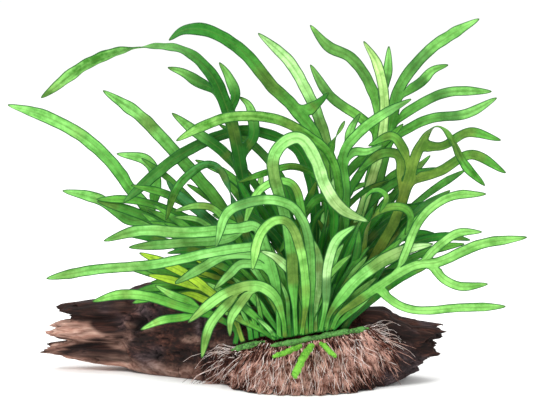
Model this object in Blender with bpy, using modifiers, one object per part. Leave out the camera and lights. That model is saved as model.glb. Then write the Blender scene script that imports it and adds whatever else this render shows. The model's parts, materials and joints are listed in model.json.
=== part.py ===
"""Java fern on driftwood: a clump of narrow forked fronds grown onto a piece of dark driftwood.

Frame: origin at the middle of the wood's flat underside, X along the wood, Y from front to back,
Z up. The tables below are in millimetres; every mesh is made in metres.
"""

import math
from collections import namedtuple

import bmesh
import bpy
from mathutils import Matrix, Vector

MM = 0.001

# Driving dimensions, in millimetres.
RHIZOME_RADIUS = 2.8
FOOT_LIFT = 3.7  # a stalk starts this far above a rhizome's centre line, just clear of its bark
STALK_WIDTH = 2.4
TIP_WIDTH = 1.2
BLADE_THICKNESS = 1.1
LEAN_REACH = 200.0  # a frond's lean is its depth this far from its foot
LEAN_CURVE = 1.15
STATION_SPACING = 12.0
LOBE_CURVE = 15.0  # a lobe has made two thirds of its bend this far from where it starts
TOUCHING_GAP = 0.8
FLAT_FROM = -35.0  # degrees: where the trunk's round side meets its flat underside
TRUNK_SIDES = 13
BRANCH_SIDES = 9
BRANCH_SQUARENESS = 0.72

# A cross-section of wood at one place along X: where it starts and ends in Y and in Z.
Section = namedtuple("Section", "x front back low top")

TRUNK = (
    Section(-95, 26, 66, 3, 61),
    Section(-88, 22, 68, 1, 65),
    Section(-78, 16, 70, 0, 69),
    Section(-62, 7, 68, 0, 71),
    Section(-46, -4, 64, 0, 69),
    Section(-30, -18, 58, 0, 64),
    Section(-14, -32, 54, 0, 60),
    Section(4, -38, 50, 0, 57),
    Section(22, -40, 46, 0, 54),
    Section(40, -41, 44, 0, 51),
    Section(58, -41, 42, 0, 49),
    Section(74, -40, 40, 0, 50),
    Section(88, -39, 38, 0, 56),
    Section(102, -36, 34, 0, 54),
    Section(114, -31, 29, 4, 48),
    Section(126, -24, 22, 10, 45),
    Section(137, -16, 14, 21, 44),
    Section(147, -8, 6, 33, 43),
)

BRANCHES = {
    "driftwood_upper_limb": (
        Section(-95.4, 28, 65, 42, 60),
        Section(-106, 29, 64, 41, 58.5),
        Section(-119, 31, 62, 40.5, 56),
        Section(-133, 33, 60, 40.5, 54),
        Section(-146, 36, 57, 42, 52),
    ),
    "driftwood_left_plank": (
        Section(-95.4, 27, 60, 22.5, 41),
        Section(-112, 29, 59, 22, 39.5),
        Section(-130, 32, 58, 22.5, 39.5),
        Section(-145, 35, 56, 24, 39),
        Section(-156, 39, 53, 27, 38),
    ),
    "driftwood_lower_prong": (
        Section(-95.4, 27, 64, 4, 21.5),
        Section(-110, 29, 64, 5, 21),
        Section(-128, 32, 62, 7, 21.5),
        Section(-146, 36, 58, 9, 21.5),
        Section(-159, 41, 54, 12, 19),
    ),
}

# The root mat: where its front foot, its front top edge and its top lie at each place along X.
MatSection = namedtuple("MatSection", "x foot brow top")
ROOT_MAT = (
    MatSection(-34, -42, -28, 18),
    MatSection(-24, -56, -33, 24),
    MatSection(-10, -66, -38, 27),
    MatSection(8, -73, -41, 30),
    MatSection(26, -77, -42, 31),
    MatSection(44, -78, -42, 34),
    MatSection(62, -76, -41, 37),
    MatSection(80, -70, -40, 40),
    MatSection(92, -64, -40, 40),
    MatSection(103, -55, -38, 31),
    MatSection(113, -44, -34, 18),
)
MAT_BACK = -22.0

RHIZOMES = {
    "left": ("rhizome_left", ((-14, -45, 31), (-3, -46, 34), (11, -44.5, 38))),
    "front": ("rhizome_front", ((15, -44, 34.5), (40, -43, 38.5), (65, -41, 43), (90, -38, 47))),
    "middle": ("rhizome_middle", ((0, -24, 60), (40, -23, 57), (80, -22, 56))),
    "back": ("rhizome_back", ((-5, -3, 64), (35, -3, 59), (80, -3, 59))),
}

STUBS = (
    ("rhizome_stub_left", 2.4, ((39, -48.5, 35), (28, -58, 32), (18, -67, 30))),
    ("rhizome_stub_middle", 3.2, ((47, -51, 36), (40, -66, 29), (33, -80, 17))),
    ("rhizome_stub_right", 2.4, ((53, -49.5, 37), (58, -57, 34), (64, -66, 30))),
)

# A frond: the rhizome that it grows on and where along X, how far it leans forward (-) or back (+),
# its width, the length of its bare stalk, how its blade turns about its midrib along the way
# (degrees), its midrib as (x, z) places from the foot to the tip, its lobes in the same way, and
# how far each lobe bends forward (-) or back (+) out of the blade, so that it clears its neighbours.
Frond = namedtuple("Frond", "name row at lean width stalk turn midrib lobes bends", defaults=((), ()))

FRONDS = (
    Frond("frond_left_hand", "back", 3, 36, 10, 55, (0, 20, -15, 10, -25),
          ((-8, 86), (-34, 104), (-65, 117), (-76, 124), (-80, 133), (-91, 145), (-105, 164),
           (-128, 184), (-157, 199), (-186, 207)),
          (((-77, 126), (-72, 145), (-73, 158), (-80, 168), (-102, 172)),
           ((-76, 124), (-92, 121), (-115, 136), (-144, 142))), (-4, 4)),
    Frond("frond_tall_arch", "back", 10, -20, 10, 35, (10, 0, -10, 10, 60, 150, 165),
          ((6, 90), (0, 116), (-5, 155), (-10, 184), (-17, 210), (-29, 237), (-52, 256),
           (-87, 257), (-121, 246), (-157, 220)),
          (((-20, 209), (-11, 220), (-16, 236), (-23, 247)),
           ((-23, 225), (-37, 230), (-50, 238), (-62, 242)),
           ((-5, 178), (3, 191), (0, 212), (-8, 220)),
           ((-9, 163), (-21, 178), (-39, 191), (-59, 207))), (-5, 6, 0, 6)),
    Frond("frond_long_blade", "back", 18, 18, 10, 35, (0, -15, 10, 25),
          ((9, 84), (-8, 112), (-25, 138), (-53, 170), (-83, 201), (-112, 221))),
    Frond("frond_mid_arch", "back", 44, -5, 9, 50, (20, 10, -20, -10, 15),
          ((50, 90), (49, 140), (38, 176), (15, 190), (-8, 193), (-33, 185), (-59, 170), (-96, 138))),
    Frond("frond_forward_arch", "middle", 57.5, -38, 8, 55, (0, 15, 150, 170, 185, 170),
          ((64, 84), (68, 136), (62, 175), (45, 193), (19, 207), (-13, 209), (-37, 201), (-55, 191)),
          (((59, 178), (63, 190), (67, 198), (71, 206)),), (-4,)),
    Frond("frond_back_arch", "back", 53, 25, 10, 50, (0, 15, -15, 10, -10, 30),
          ((57, 90), (59, 132), (53, 179), (35, 206), (15, 226), (-5, 250), (-30, 265), (-50, 266),
           (-62, 258)),
          (((38, 202), (46, 207), (53, 212), (60, 219)),), (4,)),
    Frond("frond_high_blade", "back", 62, 44, 9, 50, (20, -10, 15, -20),
          ((63, 90), (64, 130), (59, 176), (51, 202), (42, 221), (29, 242), (6, 262))),
    Frond("frond_top_right", "back", 76, 30, 9, 45, (0, -15, 15, 0, -20),
          ((79, 94), (95, 142), (107, 194), (114, 223), (135, 249), (155, 263), (175, 274)),
          (((107, 204), (101, 217), (105, 234), (106, 253)),
           ((112, 216), (129, 226), (139, 236), (151, 240)),
           ((109, 197), (130, 211), (152, 220), (184, 220)),
           ((104, 183), (135, 199), (164, 203), (188, 215))), (8, -6, -9, -7)),
    Frond("frond_back_fork", "back", 69, 56, 9, 50, (-10, 15, -15, 25),
          ((73, 94), (90, 144), (99, 195), (92, 222), (78, 242), (60, 251), (46, 267)),
          (((98, 188), (82, 200), (61, 215), (46, 238)),), (-5,)),
    Frond("frond_pale_blade", "back", 65, 6, 8, 50, (15, -15, 10, -25),
          ((75, 100), (91, 150), (99, 180), (102, 212), (97, 241), (86, 260))),
    Frond("frond_low_right_fork", "middle", 64.5, -22, 8, 45, (0, 20, -10, 20),
          ((70, 104), (72, 150), (70, 178), (84, 197), (101, 210), (121, 221)),
          (((71, 173), (78, 180), (88, 180), (100, 185)),
           ((70, 179), (74, 190), (77, 199), (83, 209))), (4, 9)),
    Frond("frond_staghorn", "middle", 76, -14, 9, 35, (0, 10, -15, 20, 120, 165),
          ((84, 82), (108, 124), (118, 154), (126, 181), (138, 199), (149, 194), (162, 170),
           (177, 154)),
          (((113, 153), (113, 175), (98, 177), (81, 163)),
           ((122, 169), (112, 187), (105, 192), (89, 184)),
           ((131, 184), (146, 184), (165, 194), (189, 188)),
           ((119, 158), (143, 164), (167, 177), (193, 163))), (8, 0, 7, 7)),
    Frond("frond_right_staghorn", "front", 61.5, -72, 8, 15, (0, 15, -10, 20),
          ((67, 58), (78, 67), (100, 84), (123, 99), (142, 103), (172, 118), (205, 125)),
          (((111, 91), (116, 107), (128, 136), (149, 153), (175, 156)),
           ((128, 100), (138, 113), (154, 126), (172, 128)),
           ((136, 102), (143, 91), (157, 85), (177, 88)),
           ((96, 82), (108, 70), (127, 65), (157, 69), (190, 72))), (6, -4, -4, -6)),
    Frond("frond_right_blade", "front", 57, -48, 10, 15, (0, -15, 15),
          ((59, 56), (66, 68), (83, 88), (112, 108), (137, 115))),
    Frond("frond_olive_crook", "middle", 71.5, -42, 7, 35, (0, 20, 60, 160, 150),
          ((77, 80), (85, 103), (89, 125), (100, 137), (114, 139), (121, 132), (117, 117))),
    Frond("frond_small_crook", "middle", 61, -86, 6, 30, (0, 20, 90, 160),
          ((66, 80), (77, 114), (84, 136), (88, 151), (96, 155), (102, 149), (97, 137))),
    Frond("frond_bright_arch", "front", 34.5, -92, 10, 35, (20, 0, 30, 10, -10, -15),
          ((33, 75), (30, 119), (20, 162), (17, 183), (25, 197), (38, 200), (49, 183), (56, 162),
           (69, 144), (88, 135))),
    Frond("frond_level_blade", "middle", 47, -50, 6, 45, (0, 15, 120, 165, 150),
          ((50, 84), (57, 137), (51, 161), (33, 171), (11, 166), (-9, 159))),
    Frond("frond_left_drop", "front", 46, -104, 8, 30, (0, 15, -20, 10, 30),
          ((46, 75), (44, 120), (35, 143), (20, 152), (0, 151), (-17, 142), (-25, 116))),
    Frond("frond_left_hook", "middle", 40, -84, 7, 35, (0, -20, 15, 35, 20),
          ((42, 78), (41, 119), (35, 154), (23, 162), (9, 156), (1, 143), (-4, 127))),
    Frond("frond_inner_drop", "middle", 50.5, -70, 8, 30, (0, 60, 165, 150, 160),
          ((55, 84), (63, 124), (60, 145), (50, 146), (36, 127), (22, 104))),
    Frond("frond_upright_strap", "back", 49, -12, 6, 30, (10, -20, 20),
          ((54, 90), (56, 124), (63, 150), (73, 176))),
    Frond("frond_short_hook", "front", 39, -124, 8, 20, (0, 20, -15, 20),
          ((42, 75), (38, 112), (30, 134), (18, 137), (7, 124), (2, 97))),
    Frond("frond_left_fan", "front", 22, -64, 9, 35, (0, 10, -15, 10, -15),
          ((20, 78), (10, 118), (4, 129), (-8, 128), (-45, 125), (-81, 128), (-108, 121)),
          (((-2, 127), (-19, 118), (-52, 116), (-90, 114)),
           ((9, 114), (-26, 110), (-70, 102), (-114, 100), (-150, 95)),
           ((10, 106), (-17, 106), (-35, 97), (-56, 85)),
           ((12, 98), (-6, 99), (-14, 92), (-27, 79))), (8, -4, 4, 4)),
    Frond("frond_front_fork", "front", 26.5, -95, 9, 20, (0, 15, -15, 10),
          ((25, 55), (19, 73), (6, 83), (-11, 81), (-26, 73), (-46, 57)),
          (((-9, 80), (-15, 71), (-30, 52), (-36, 28)),
           ((2, 81), (-6, 70), (-14, 57), (-15, 43))), (7, 6)),
    Frond("frond_log_leaf", "left", -11, -22, 8, 20, (0, -15, 10, -10),
          ((-11, 47), (-28, 58), (-51, 65), (-75, 73), (-97, 75), (-118, 70)),
          (((-37, 62), (-46, 70), (-58, 75), (-71, 83)),
           ((-38, 60), (-50, 57), (-66, 55), (-82, 48))), (-7, -1)),
    Frond("frond_pale_strap", "front", 42.5, -72, 8, 15, (0, 20, -15),
          ((41, 66), (38, 82), (30, 94), (19, 105), (8, 110))),
    Frond("frond_broad_front", "front", 49.5, -54, 10, 20, (0, -15, 15),
          ((49, 60), (51, 84), (50, 105), (44, 122))),
    Frond("frond_tall_front", "front", 53, -92, 8, 20, (0, 15, -20),
          ((57, 68), (58, 97), (65, 119), (79, 131))),
    Frond("frond_dark_inner", "middle", 54, -62, 7, 15, (0, -20, 10),
          ((57, 70), (64, 86), (70, 106), (78, 121))),
    Frond("frond_dark_side", "middle", 68, -60, 7, 15, (0, 25, 10),
          ((70, 72), (76, 88), (81, 105), (82, 122))),
    Frond("frond_grey_inner", "middle", 37, -30, 5, 20, (0, 20),
          ((39, 70), (41, 84), (39, 98), (36, 111))),
    Frond("frond_short_bud_left", "front", 30.5, -60, 4, 10, (0, 10),
          ((29, 54), (28, 71), (23, 85))),
    Frond("frond_short_bud_right", "middle", 32, -34, 4, 5, (0, 10),
          ((34, 66), (33, 70), (30, 77))),
    Frond("frond_olive_strap", "back", 57, -58, 7, 20, (0, -15, 15),
          ((61, 78), (61, 104), (57, 116), (51, 127))),
    Frond("frond_thin_inner", "middle", 43.5, -34, 4, 25, (0, 20, -10),
          ((44, 74), (45, 105), (49, 128), (59, 140))),
    Frond("frond_front_small", "front", 17, -70, 8, 4, (0, 15),
          ((18, 42), (13, 49), (5, 56))),
    Frond("frond_blue_arch", "middle", 12, -38, 7, 35, (0, 20, 10, 150, 165, 150),
          ((8, 82), (-3, 117), (-13, 144), (-21, 166), (-33, 172), (-48, 162), (-57, 149),
           (-63, 129))),
    Frond("frond_blue_blade", "middle", 6, 5, 8, 20, (0, -15, 20),
          ((0, 80), (-11, 103), (-32, 128), (-54, 146), (-63, 157))),
    Frond("frond_short_left_upper", "middle", 9, -20, 6, 25, (0, 15, -15),
          ((5, 80), (-7, 109), (-24, 134), (-39, 139), (-57, 135))),
    Frond("frond_short_left_lower", "middle", 0, -25, 5, 30, (0, 15, -15),
          ((-5, 80), (-17, 107), (-36, 127), (-57, 131))),
    Frond("frond_stem_left", "left", 1, -30, 3.5, 5, (0, 10),
          ((-1, 50), (-8, 65))),
    Frond("frond_stem_middle", "left", 5, -15, 3.5, 5, (0, 10),
          ((3, 54), (-3, 70))),
    Frond("frond_stem_right", "left", 9.5, -25, 3.5, 5, (0, 10),
          ((8, 57), (5, 74))),
    Frond("frond_young_tuft", "left", -5, -10, 8, 12, (0, -15, 15),
          ((-13, 58), (-26, 73), (-45, 88), (-64, 98), (-83, 106)),
          (((-34, 78), (-46, 81), (-62, 85), (-77, 88)),
           ((-19, 64), (-34, 69), (-44, 73), (-54, 73))), (8, 9)),
    Frond("frond_rear_left", "back", 25, 118, 9, 25, (0, 25, -20),
          ((15, 92), (6, 125), (9, 155))),
    Frond("frond_rear_right", "back", 37, 135, 9, 25, (0, -25, 20),
          ((42, 94), (60, 130), (76, 142))),
)


def clear_scene():
    """Removes every object that the file opened with."""
    for obj in list(bpy.data.objects):
        bpy.data.objects.remove(obj, do_unlink=True)


def new_collection(name):
    """A collection of the scene for the pieces or for the cutters."""
    collection = bpy.data.collections.new(name)
    bpy.context.scene.collection.children.link(collection)
    return collection


def new_material(name, colour, roughness):
    """A plain Principled material with a linear colour."""
    material = bpy.data.materials.new(name)
    material.use_nodes = True
    shader = material.node_tree.nodes["Principled BSDF"]
    shader.inputs["Base Color"].default_value = (*colour, 1.0)
    shader.inputs["Roughness"].default_value = roughness
    shader.inputs["Metallic"].default_value = 0.0
    return material


def add_mesh(name, bm, collection, material):
    """Makes a named object from a bmesh, whose places are in millimetres."""
    bmesh.ops.scale(bm, vec=(MM, MM, MM), verts=bm.verts)
    bmesh.ops.recalc_face_normals(bm, faces=bm.faces)
    mesh = bpy.data.meshes.new(name)
    bm.to_mesh(mesh)
    bm.free()
    mesh.materials.append(material)
    obj = bpy.data.objects.new(name, mesh)
    collection.objects.link(obj)
    return obj


def extruded_row(bm, row, places, is_ring=False):
    """Extrudes a chain of vertices, or a closed ring of them, and moves the new ones to places."""
    following = row[1:] + row[:1] if is_ring else row[1:]
    edges = [bm.edges.get(pair) for pair in zip(row, following)]
    made = bmesh.ops.extrude_edge_only(bm, edges=edges)["geom"]
    fresh = {item for item in made if isinstance(item, bmesh.types.BMVert)}
    new_row = []
    for vert, place in zip(row, places):
        twin = next(e.other_vert(vert) for e in vert.link_edges if e.other_vert(vert) in fresh)
        twin.co = place
        new_row.append(twin)
    return new_row


def lofted(rings):
    """A closed bmesh through rings of places, capped at both ends."""
    bm = bmesh.new()
    row = [bm.verts.new(place) for place in rings[0]]
    bm.faces.new(row)
    for ring in rings[1:]:
        row = extruded_row(bm, row, ring, is_ring=True)
    bm.faces.new(row)
    bmesh.ops.triangulate(bm, faces=bm.faces)
    return bm


def trunk_ring(section):
    """The trunk's outline at one place: round, with gentle flutes, on a flat underside."""
    middle = (section.front + section.back) / 2
    half_width = (section.back - section.front) / 2
    floor_sine = math.sin(math.radians(FLAT_FROM))
    sweep = 180.0 - 2 * FLAT_FROM
    ring = []
    for i in range(TRUNK_SIDES):
        angle = math.radians(FLAT_FROM + sweep * i / (TRUNK_SIDES - 1))
        inner = 0 < i < TRUNK_SIDES - 1
        flute = 1.0 + inner * (0.035 * math.sin(3 * angle + section.x * 0.09)
                               + 0.02 * math.sin(5 * angle - section.x * 0.13))
        rise = (math.sin(angle) - floor_sine) / (1.0 - floor_sine)
        ring.append(Vector((section.x,
                            middle + half_width * math.cos(angle) * flute,
                            section.low + (section.top - section.low) * rise * flute)))
    return ring


def branch_ring(section):
    """A branch's outline at one place: a squarish oval."""
    middle_y = (section.front + section.back) / 2
    middle_z = (section.low + section.top) / 2
    ring = []
    for i in range(BRANCH_SIDES):
        angle = 2 * math.pi * i / BRANCH_SIDES
        across = math.copysign(abs(math.cos(angle)) ** BRANCH_SQUARENESS, math.cos(angle))
        up = math.copysign(abs(math.sin(angle)) ** BRANCH_SQUARENESS, math.sin(angle))
        ring.append(Vector((section.x,
                            middle_y + across * (section.back - section.front) / 2,
                            middle_z + up * (section.top - section.low) / 2)))
    return ring


def make_driftwood(collection):
    """The trunk and the branches that fork off its left end."""
    wood = new_material("driftwood", (0.045, 0.022, 0.016), 0.75)
    trunk = add_mesh("driftwood_trunk", lofted([trunk_ring(s) for s in TRUNK]), collection, wood)
    for name, sections in BRANCHES.items():
        add_mesh(name, lofted([branch_ring(s) for s in sections]), collection, wood)
    return trunk


def mat_ring(section):
    """The root mat's outline at one place: a slope of hanging roots down to the floor."""
    depth = section.foot - section.brow
    return [Vector((section.x, MAT_BACK, 0.0)),
            Vector((section.x, section.foot, 0.0)),
            Vector((section.x, section.brow + 0.86 * depth, section.top * 0.22)),
            Vector((section.x, section.brow + 0.66 * depth, section.top * 0.48)),
            Vector((section.x, section.brow + 0.36 * depth, section.top * 0.78)),
            Vector((section.x, section.brow, section.top)),
            Vector((section.x, MAT_BACK, section.top))]


def make_root_mat(collection, cutters, trunk):
    """The felt of roots in front of the trunk, cut to the trunk's side with a small gap."""
    roots = new_material("fern_roots", (0.31, 0.17, 0.13), 0.9)
    mat = add_mesh("root_mat", lofted([mat_ring(s) for s in ROOT_MAT]), collection, roots)
    cutter = trunk.copy()
    cutter.data = trunk.data.copy()
    cutter.name = "cutter_trunk"
    bm = bmesh.new()
    bm.from_mesh(cutter.data)
    bm.normal_update()
    for vert in bm.verts:
        vert.co += vert.normal * TOUCHING_GAP * MM
    bm.to_mesh(cutter.data)
    bm.free()
    cutter.hide_render = True
    cutter.display_type = "WIRE"
    cutters.objects.link(cutter)
    cut = mat.modifiers.new("trunk side", "BOOLEAN")
    cut.operation = "DIFFERENCE"
    cut.solver = "EXACT"
    cut.object = cutter


def make_tube(name, radius, places, collection, material):
    """A round rod along a smooth line through a few places."""
    curve = bpy.data.curves.new(name, "CURVE")
    curve.dimensions = "3D"
    curve.bevel_depth = radius * MM
    curve.bevel_resolution = 2
    curve.use_fill_caps = True
    points = smooth_line([Vector(p) for p in places], 3 * len(places))
    spline = curve.splines.new("POLY")
    spline.points.add(len(points) - 1)
    for slot, place in zip(spline.points, points):
        slot.co = (*(place * MM), 1.0)
    curve.materials.append(material)
    obj = bpy.data.objects.new(name, curve)
    collection.objects.link(obj)
    return obj


def make_rhizomes(collection):
    """The creeping rhizome with its side branches, and the cut stubs below it."""
    bark = new_material("rhizome_bark", (0.09, 0.27, 0.08), 0.6)
    for name, places in RHIZOMES.values():
        make_tube(name, RHIZOME_RADIUS, places, collection, bark)
    for name, radius, places in STUBS:
        make_tube(name, radius, places, collection, bark)


def spline_place(places, t):
    """A place on the Catmull-Rom curve through places, with t from 0 to 1."""
    spans = len(places) - 1
    span = min(int(t * spans), spans - 1)
    f = t * spans - span
    p1, p2 = places[span], places[span + 1]
    p0 = places[span - 1] if span > 0 else 2 * p1 - p2
    p3 = places[span + 2] if span + 2 < len(places) else 2 * p2 - p1
    return 0.5 * (2 * p1 + (p2 - p0) * f + (2 * p0 - 5 * p1 + 4 * p2 - p3) * f ** 2
                  + (3 * p1 - p0 - 3 * p2 + p3) * f ** 3)


def smooth_line(places, count):
    """Count places, evenly spaced, along the smooth curve through places."""
    fine = [spline_place(places, i / 200) for i in range(201)]
    reach = [0.0]
    for before, after in zip(fine, fine[1:]):
        reach.append(reach[-1] + (after - before).length)
    line = []
    at = 0
    for i in range(count):
        wanted = reach[-1] * i / (count - 1)
        while at < len(fine) - 2 and reach[at + 1] < wanted:
            at += 1
        part = (wanted - reach[at]) / max(reach[at + 1] - reach[at], 1e-9)
        line.append(fine[at].lerp(fine[at + 1], min(part, 1.0)))
    return line


def line_length(line):
    """The length of a chain of places."""
    return sum((after - before).length for before, after in zip(line, line[1:]))


def smoothstep(low, high, value):
    """Rises smoothly from 0 at low to 1 at high."""
    t = min(max((value - low) / (high - low), 0.0), 1.0)
    return t * t * (3 - 2 * t)


def turn_at(turns, t):
    """The blade's turn in degrees, eased between values spread evenly along the frond."""
    span = min(int(t * (len(turns) - 1)), len(turns) - 2)
    f = smoothstep(0.0, 1.0, t * (len(turns) - 1) - span)
    return turns[span] * (1 - f) + turns[span + 1] * f


def frond_foot(frond):
    """Where the stalk starts, just above its rhizome."""
    places = [Vector(p) for p in RHIZOMES[frond.row][1]]
    for before, after in zip(places, places[1:]):
        if frond.at <= after.x:
            break
    part = (frond.at - before.x) / (after.x - before.x)
    return before.lerp(after, part) + Vector((0, 0, FOOT_LIFT))


def leaned(frond, foot, x, z):
    """The place of the frond at this x and z: further from its foot it leans further out."""
    reach = math.hypot(x - foot.x, z - foot.z)
    return Vector((x, foot.y + frond.lean * (reach / LEAN_REACH) ** LEAN_CURVE, z))


def lobe_line(frond, foot, lobe, bend):
    """The smooth line of a lobe, which bends out of the blade's own surface."""
    places = [leaned(frond, foot, x, z) for x, z in lobe]
    line = smooth_line(places, 60)
    for place in line:
        reach = math.hypot(place.x - places[0].x, place.z - places[0].z)
        place.y += bend * (1.0 - math.exp(-reach / LOBE_CURVE))
    return line


def across_at(line, i, turn):
    """The direction across the blade at one place of its midrib, turned about the midrib."""
    along = (line[min(i + 1, len(line) - 1)] - line[max(i - 1, 0)]).normalized()
    across = along.cross(Vector((0, -1, 0))).normalized()
    return Matrix.Rotation(math.radians(turn), 3, along) @ across


def blade_half_width(width, stalk, reached, length):
    """Half the blade's width: a bare stalk, a full blade and a pointed tip."""
    full = STALK_WIDTH + (width - STALK_WIDTH) * smoothstep(stalk, stalk + 30.0, reached)
    left = (length - reached) / (2.2 * width)
    taper = math.sqrt(min(max(left, 0.0), 1.0))
    return (TIP_WIDTH + (full - TIP_WIDTH) * taper) / 2


def add_lobe(bm, rows, line, fine, width, turn):
    """Draws a lobe, whose smooth line is fine, out of the nearest side edge of the blade."""
    outward = (fine[6] - fine[0]).normalized()
    choices = []
    for i in range(1, len(line) - 2):
        side = max((0, 1), key=lambda s: (rows[i][s].co - line[i]).dot(outward))
        edge = bm.edges.get((rows[i][side], rows[i + 1][side]))
        if len(edge.link_faces) == 1:
            middle = line[i].lerp(line[i + 1], 0.5)
            choices.append(((middle - fine[0]).length, i, side))
    _, nearest, side = min(choices)
    root = [rows[nearest][side], rows[nearest + 1][side]]
    length = line_length(fine)
    clear = max((v.co - fine[0]).length for v in root) + 1.0
    count = max(3, round((length - clear) / STATION_SPACING))
    first = next(i for i, place in enumerate(fine) if (place - fine[0]).length > clear)
    stations = [fine[first + round((59 - first) * i / count)] for i in range(count + 1)]
    span = (root[1].co - root[0].co).normalized()
    row = root
    for i, place in enumerate(stations):
        across = across_at(stations, i, turn)
        if across.dot(span) < 0:
            across.negate()
        half = blade_half_width(width * 0.85, -40.0, clear + i / count * (length - clear), length)
        row = extruded_row(bm, row, (place - across * half, place + across * half))
        span = across


def make_frond(frond, collection, material):
    """One frond: a thin solid ribbon along its midrib, with its lobes."""
    foot = frond_foot(frond)
    places = [foot] + [leaned(frond, foot, x, z) for x, z in frond.midrib]
    length = line_length(smooth_line(places, 60))
    count = max(5, round(length / STATION_SPACING))
    line = smooth_line(places, count)
    bm = bmesh.new()
    rows = []
    for i, place in enumerate(line):
        t = i / (count - 1)
        across = across_at(line, i, turn_at(frond.turn, t))
        half = blade_half_width(frond.width, frond.stalk, t * length, length)
        pair = (place - across * half, place + across * half)
        if rows:
            rows.append(extruded_row(bm, rows[-1], pair))
        else:
            rows.append([bm.verts.new(p) for p in pair])
            bm.edges.new(rows[0])
    for lobe, bend in zip(frond.lobes, frond.bends):
        add_lobe(bm, rows, line, lobe_line(frond, foot, lobe, bend), frond.width, frond.turn[1])
    obj = add_mesh(frond.name, bm, collection, material)
    wall = obj.modifiers.new("blade", "SOLIDIFY")
    wall.thickness = BLADE_THICKNESS * MM
    wall.offset = 0.0


def main():
    """Makes the driftwood, its root mat and rhizomes, and every frond."""
    clear_scene()
    pieces = new_collection("java_fern_on_driftwood")
    cutters = new_collection("cutters")
    trunk = make_driftwood(pieces)
    make_root_mat(pieces, cutters, trunk)
    make_rhizomes(pieces)
    leaf = new_material("fern_leaf", (0.13, 0.42, 0.12), 0.5)
    for frond in FRONDS:
        make_frond(frond, pieces, leaf)


main()
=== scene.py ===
"""Java fern on driftwood: fronds, rhizome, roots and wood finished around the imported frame.

The frame gives the wood, the root mat and the rhizomes. Each frond is swept again from the places
of its midrib, which repeat the plan of the frame's fronds in millimetres.
"""

import json
import logging
import math
import random
from dataclasses import dataclass
from enum import Enum

import bmesh
import bpy
from mathutils import Matrix, Vector, noise
from mathutils.bvhtree import BVHTree
from mathutils.kdtree import KDTree

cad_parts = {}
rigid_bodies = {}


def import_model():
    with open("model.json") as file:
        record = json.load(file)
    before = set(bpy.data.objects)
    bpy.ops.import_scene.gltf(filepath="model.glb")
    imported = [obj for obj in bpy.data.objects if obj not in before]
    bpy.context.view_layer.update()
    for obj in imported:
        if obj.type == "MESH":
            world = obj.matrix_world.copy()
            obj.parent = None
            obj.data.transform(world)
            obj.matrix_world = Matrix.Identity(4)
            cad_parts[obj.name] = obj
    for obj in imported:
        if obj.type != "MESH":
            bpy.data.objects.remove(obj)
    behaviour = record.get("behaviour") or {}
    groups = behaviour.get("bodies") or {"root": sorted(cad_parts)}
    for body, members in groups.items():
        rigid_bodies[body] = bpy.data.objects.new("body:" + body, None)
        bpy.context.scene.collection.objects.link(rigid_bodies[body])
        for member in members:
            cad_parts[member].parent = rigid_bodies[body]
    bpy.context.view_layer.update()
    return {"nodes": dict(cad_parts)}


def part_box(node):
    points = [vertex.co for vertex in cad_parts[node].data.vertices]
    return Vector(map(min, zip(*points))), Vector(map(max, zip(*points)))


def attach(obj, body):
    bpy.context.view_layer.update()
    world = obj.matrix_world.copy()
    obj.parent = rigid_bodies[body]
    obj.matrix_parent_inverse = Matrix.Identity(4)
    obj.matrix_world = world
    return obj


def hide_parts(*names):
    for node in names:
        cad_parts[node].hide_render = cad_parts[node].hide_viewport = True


log = logging.getLogger("java_fern")

MM = 0.001
BODY = "root"
GLOSS = 0.2  # everything here is soft and finely rough, so little of the light glances off
FINE_STEPS = 300  # a smooth line is read in this many steps before it is spread evenly
COARSE_STEPS = 60  # enough to measure how long a line is
NODE_WELD = 1e-6
CURVE_WELD = 1e-7

Size = tuple[float, float, float]

Place = tuple[float, float]
Colour = tuple[float, float, float, float]


def linear(code: str) -> Colour:
    """Turns an sRGB hex value to a linear colour.

    Args:
        code: the colour as "#RRGGBB".

    Returns:
        Red, green, blue and an alpha of 1, each from 0 to 1.
    """
    channels = [int(code[i:i + 2], 16) / 255 for i in (1, 3, 5)]
    spread = [c / 12.92 if c <= 0.04045 else ((c + 0.055) / 1.055) ** 2.4 for c in channels]
    return (*spread, 1.0)


def smoothstep(low: float, high: float, value: float) -> float:
    """Rises smoothly from 0 at low to 1 at high."""
    t = min(max((value - low) / (high - low), 0.0), 1.0)
    return t * t * (3 - 2 * t)


def add_node(tree: bpy.types.NodeTree, kind: str, settings: dict | None = None,
             links: dict | None = None, stops: list[tuple[float, str]] | None = None) -> bpy.types.Node:
    """Adds one shader node.

    Args:
        tree: the material's node tree.
        kind: the node's type.
        settings: property or input names (or input numbers) and their values.
        links: input names or numbers and the output sockets that feed them.
        stops: a colour ramp's places and sRGB colours.

    Returns:
        The new node.
    """
    node = tree.nodes.new(kind)
    for key, value in (settings or {}).items():
        if isinstance(key, str) and hasattr(node, key):
            setattr(node, key, value)
        else:
            node.inputs[key].default_value = value
    for key, socket in (links or {}).items():
        tree.links.new(socket, node.inputs[key])
    if stops:
        ramp = node.color_ramp
        while len(ramp.elements) < len(stops):
            ramp.elements.new(1.0)
        for element, (at, code) in zip(ramp.elements, stops):
            element.position = at
            element.color = linear(code)
    return node


def new_tree(name: str, roughness: float, ior: float) -> tuple[bpy.types.Material, bpy.types.Node]:
    """Starts a Principled material.

    Args:
        name: the material's name.
        roughness: its plain roughness.
        ior: its index of refraction.

    Returns:
        The material and its shader node.
    """
    material = bpy.data.materials.new(name)
    material.use_nodes = True
    shader = material.node_tree.nodes["Principled BSDF"]
    shader.inputs["Roughness"].default_value = roughness
    shader.inputs["IOR"].default_value = ior
    shader.inputs["Specular IOR Level"].default_value = GLOSS
    return material, shader


# The colour mix node's numbered sockets.
FACTOR, FIRST, SECOND, RESULT = 0, 6, 7, 2


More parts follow.
